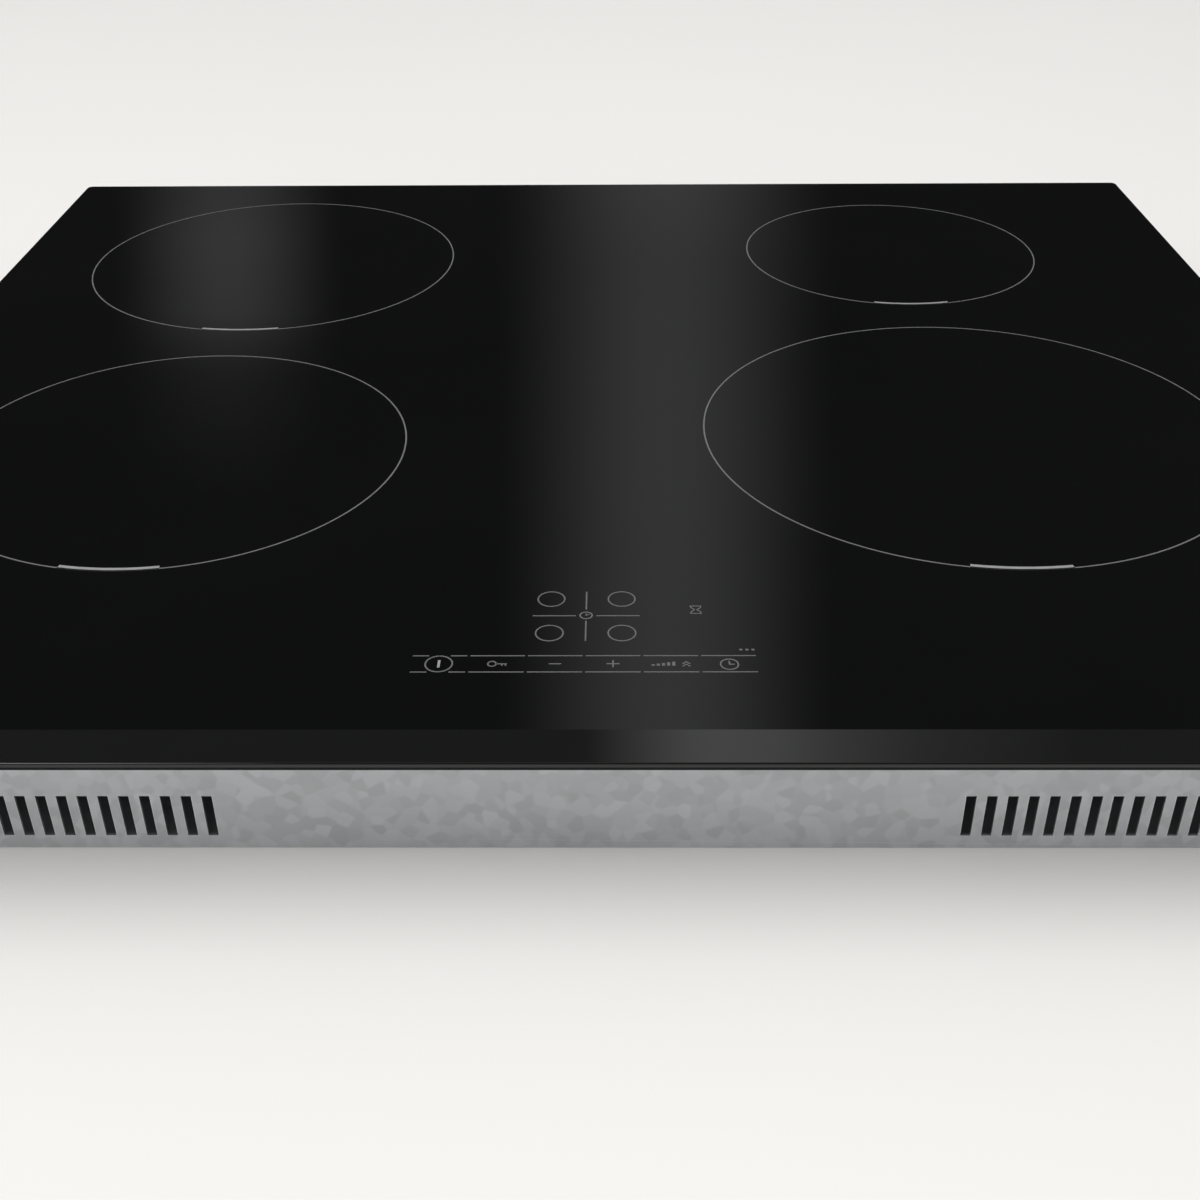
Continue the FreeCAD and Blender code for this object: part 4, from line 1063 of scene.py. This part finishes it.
def glow_card(name, tilt, drop, height, brightness):
    """A soft light that only shows as a reflection. It faces the camera's mirror image in the glass, or
    in the facet tilted by that angle, so that its picture stands upright there. Drop and height are parts
    of the card's width."""
    normal = Vector((0, -math.sin(tilt), math.cos(tilt)))
    on_plane = Vector((0, FACET_TOP_Y, GLASS_TOP))
    eye = EYE - 2 * (EYE - on_plane).dot(normal) * normal
    ahead = forward - 2 * forward.dot(normal) * normal
    aside = right - 2 * right.dot(normal) * normal
    lift = up - 2 * up.dot(normal) * normal
    s = Shader(name)
    s.tree.nodes.remove(s.bsdf)
    glow = s.add("ShaderNodeEmission")
    s.link(brightness(s), glow.inputs["Strength"])
    added(s, glow, s.add("ShaderNodeBsdfTransparent"))
    card = stage_plane(name, 1.0, s.material)
    card.matrix_world = (
        Matrix.Translation(eye + ahead * CARD_AT - lift * drop * CARD_SIZE)
        @ Matrix((aside, -lift, ahead)).transposed().to_4x4()
        @ Matrix.Diagonal((CARD_SIZE, CARD_SIZE * height, 1, 1))
    )
    card.visible_camera = False
    card.visible_diffuse = False
    card.visible_shadow = False
    card.visible_transmission = False


def along(s, axis):
    """How far along the card, 0 to 1."""
    node = s.add("ShaderNodeSeparateXYZ")
    s.link(s.place, node.inputs[0])
    return s.maths("ADD", node.outputs[axis], 0.5)


def soft(s, value, stops):
    level = s.ramp(value, stops)
    level.node.color_ramp.interpolation = "EASE"
    return level


def main_glow(s):
    """The upright band and the round patch of light that the flat glass shows."""
    band_level, patch_level = 0.41, 0.158
    band_across = soft(s, along(s, 0), [(0.409, 0.0), (0.555, 1.0), (0.701, 0.0)])
    band_along = s.ramp(along(s, 1), [(0.22, 0.39), (0.60, 1.0)])
    band = s.maths("MULTIPLY", s.maths("MULTIPLY", band_across, band_along), band_level)
    patch_across = soft(s, along(s, 0), [(0.09, 0.0), (0.19, 1.0), (0.29, 0.0)])
    patch_along = s.ramp(along(s, 1), [
        (0.05, 0.0), (0.20, 1.0), (0.262, 1.0), (0.285, 0.6), (0.31, 0.3), (0.42, 0.0)])
    patch = s.maths("MULTIPLY", s.maths("MULTIPLY", patch_across, patch_along), patch_level)
    return s.maths("ADD", band, patch)


def facet_glow(s):
    """The wider band, off to the right, that the front facet shows."""
    return s.ramp(along(s, 0), [
        (0.49, 0.0), (0.53, 0.42), (0.575, 0.92), (0.60, 1.0), (0.645, 0.88), (0.70, 0.48), (0.77, 0.2),
        (0.90, 0.0)])


glow_card("band_card", tilt=0.0, drop=0.0, height=1.0, brightness=main_glow)
glow_card("facet_card", tilt=FACET_TILT, drop=0.13, height=0.12, brightness=facet_glow)

SKY_GREY = 0.88
REFLECTED_SKY = ((42, 0.010), (55, 0.12), (63, 0.12), (72, 0.4))


def sky():
    """Pale behind the object, and darker for reflections, so that the glass stays black: they meet a grey
    that depends on the height above the horizon in degrees."""
    world = bpy.data.worlds.new("studio")
    bpy.context.scene.world = world
    world.use_nodes = True
    nodes = world.node_tree.nodes
    links = world.node_tree.links
    background = nodes["Background"]
    place = nodes.new("ShaderNodeTexCoord")
    parts = nodes.new("ShaderNodeSeparateXYZ")
    ramp = nodes.new("ShaderNodeValToRGB")
    path = nodes.new("ShaderNodeLightPath")
    mix = nodes.new("ShaderNodeMix")
    mix.data_type = "RGBA"
    stops = ramp.color_ramp.elements
    for k, (degrees, grey) in enumerate(REFLECTED_SKY):
        height = math.sin(math.radians(degrees))
        stop = stops[k] if k < 2 else stops.new(height)
        stop.position = height
        stop.color = (grey, grey, grey, 1)
    links.new(place.outputs["Generated"], parts.inputs[0])
    links.new(parts.outputs[2], ramp.inputs["Fac"])
    links.new(path.outputs["Is Glossy Ray"], mix.inputs["Factor"])
    mix.inputs["A"].default_value = (SKY_GREY, SKY_GREY, SKY_GREY, 1)
    links.new(ramp.outputs["Color"], mix.inputs["B"])
    links.new(mix.outputs["Result"], background.inputs["Color"])
    background.inputs["Strength"].default_value = 1.0


sky()
bpy.context.scene.view_settings.view_transform = "Standard"
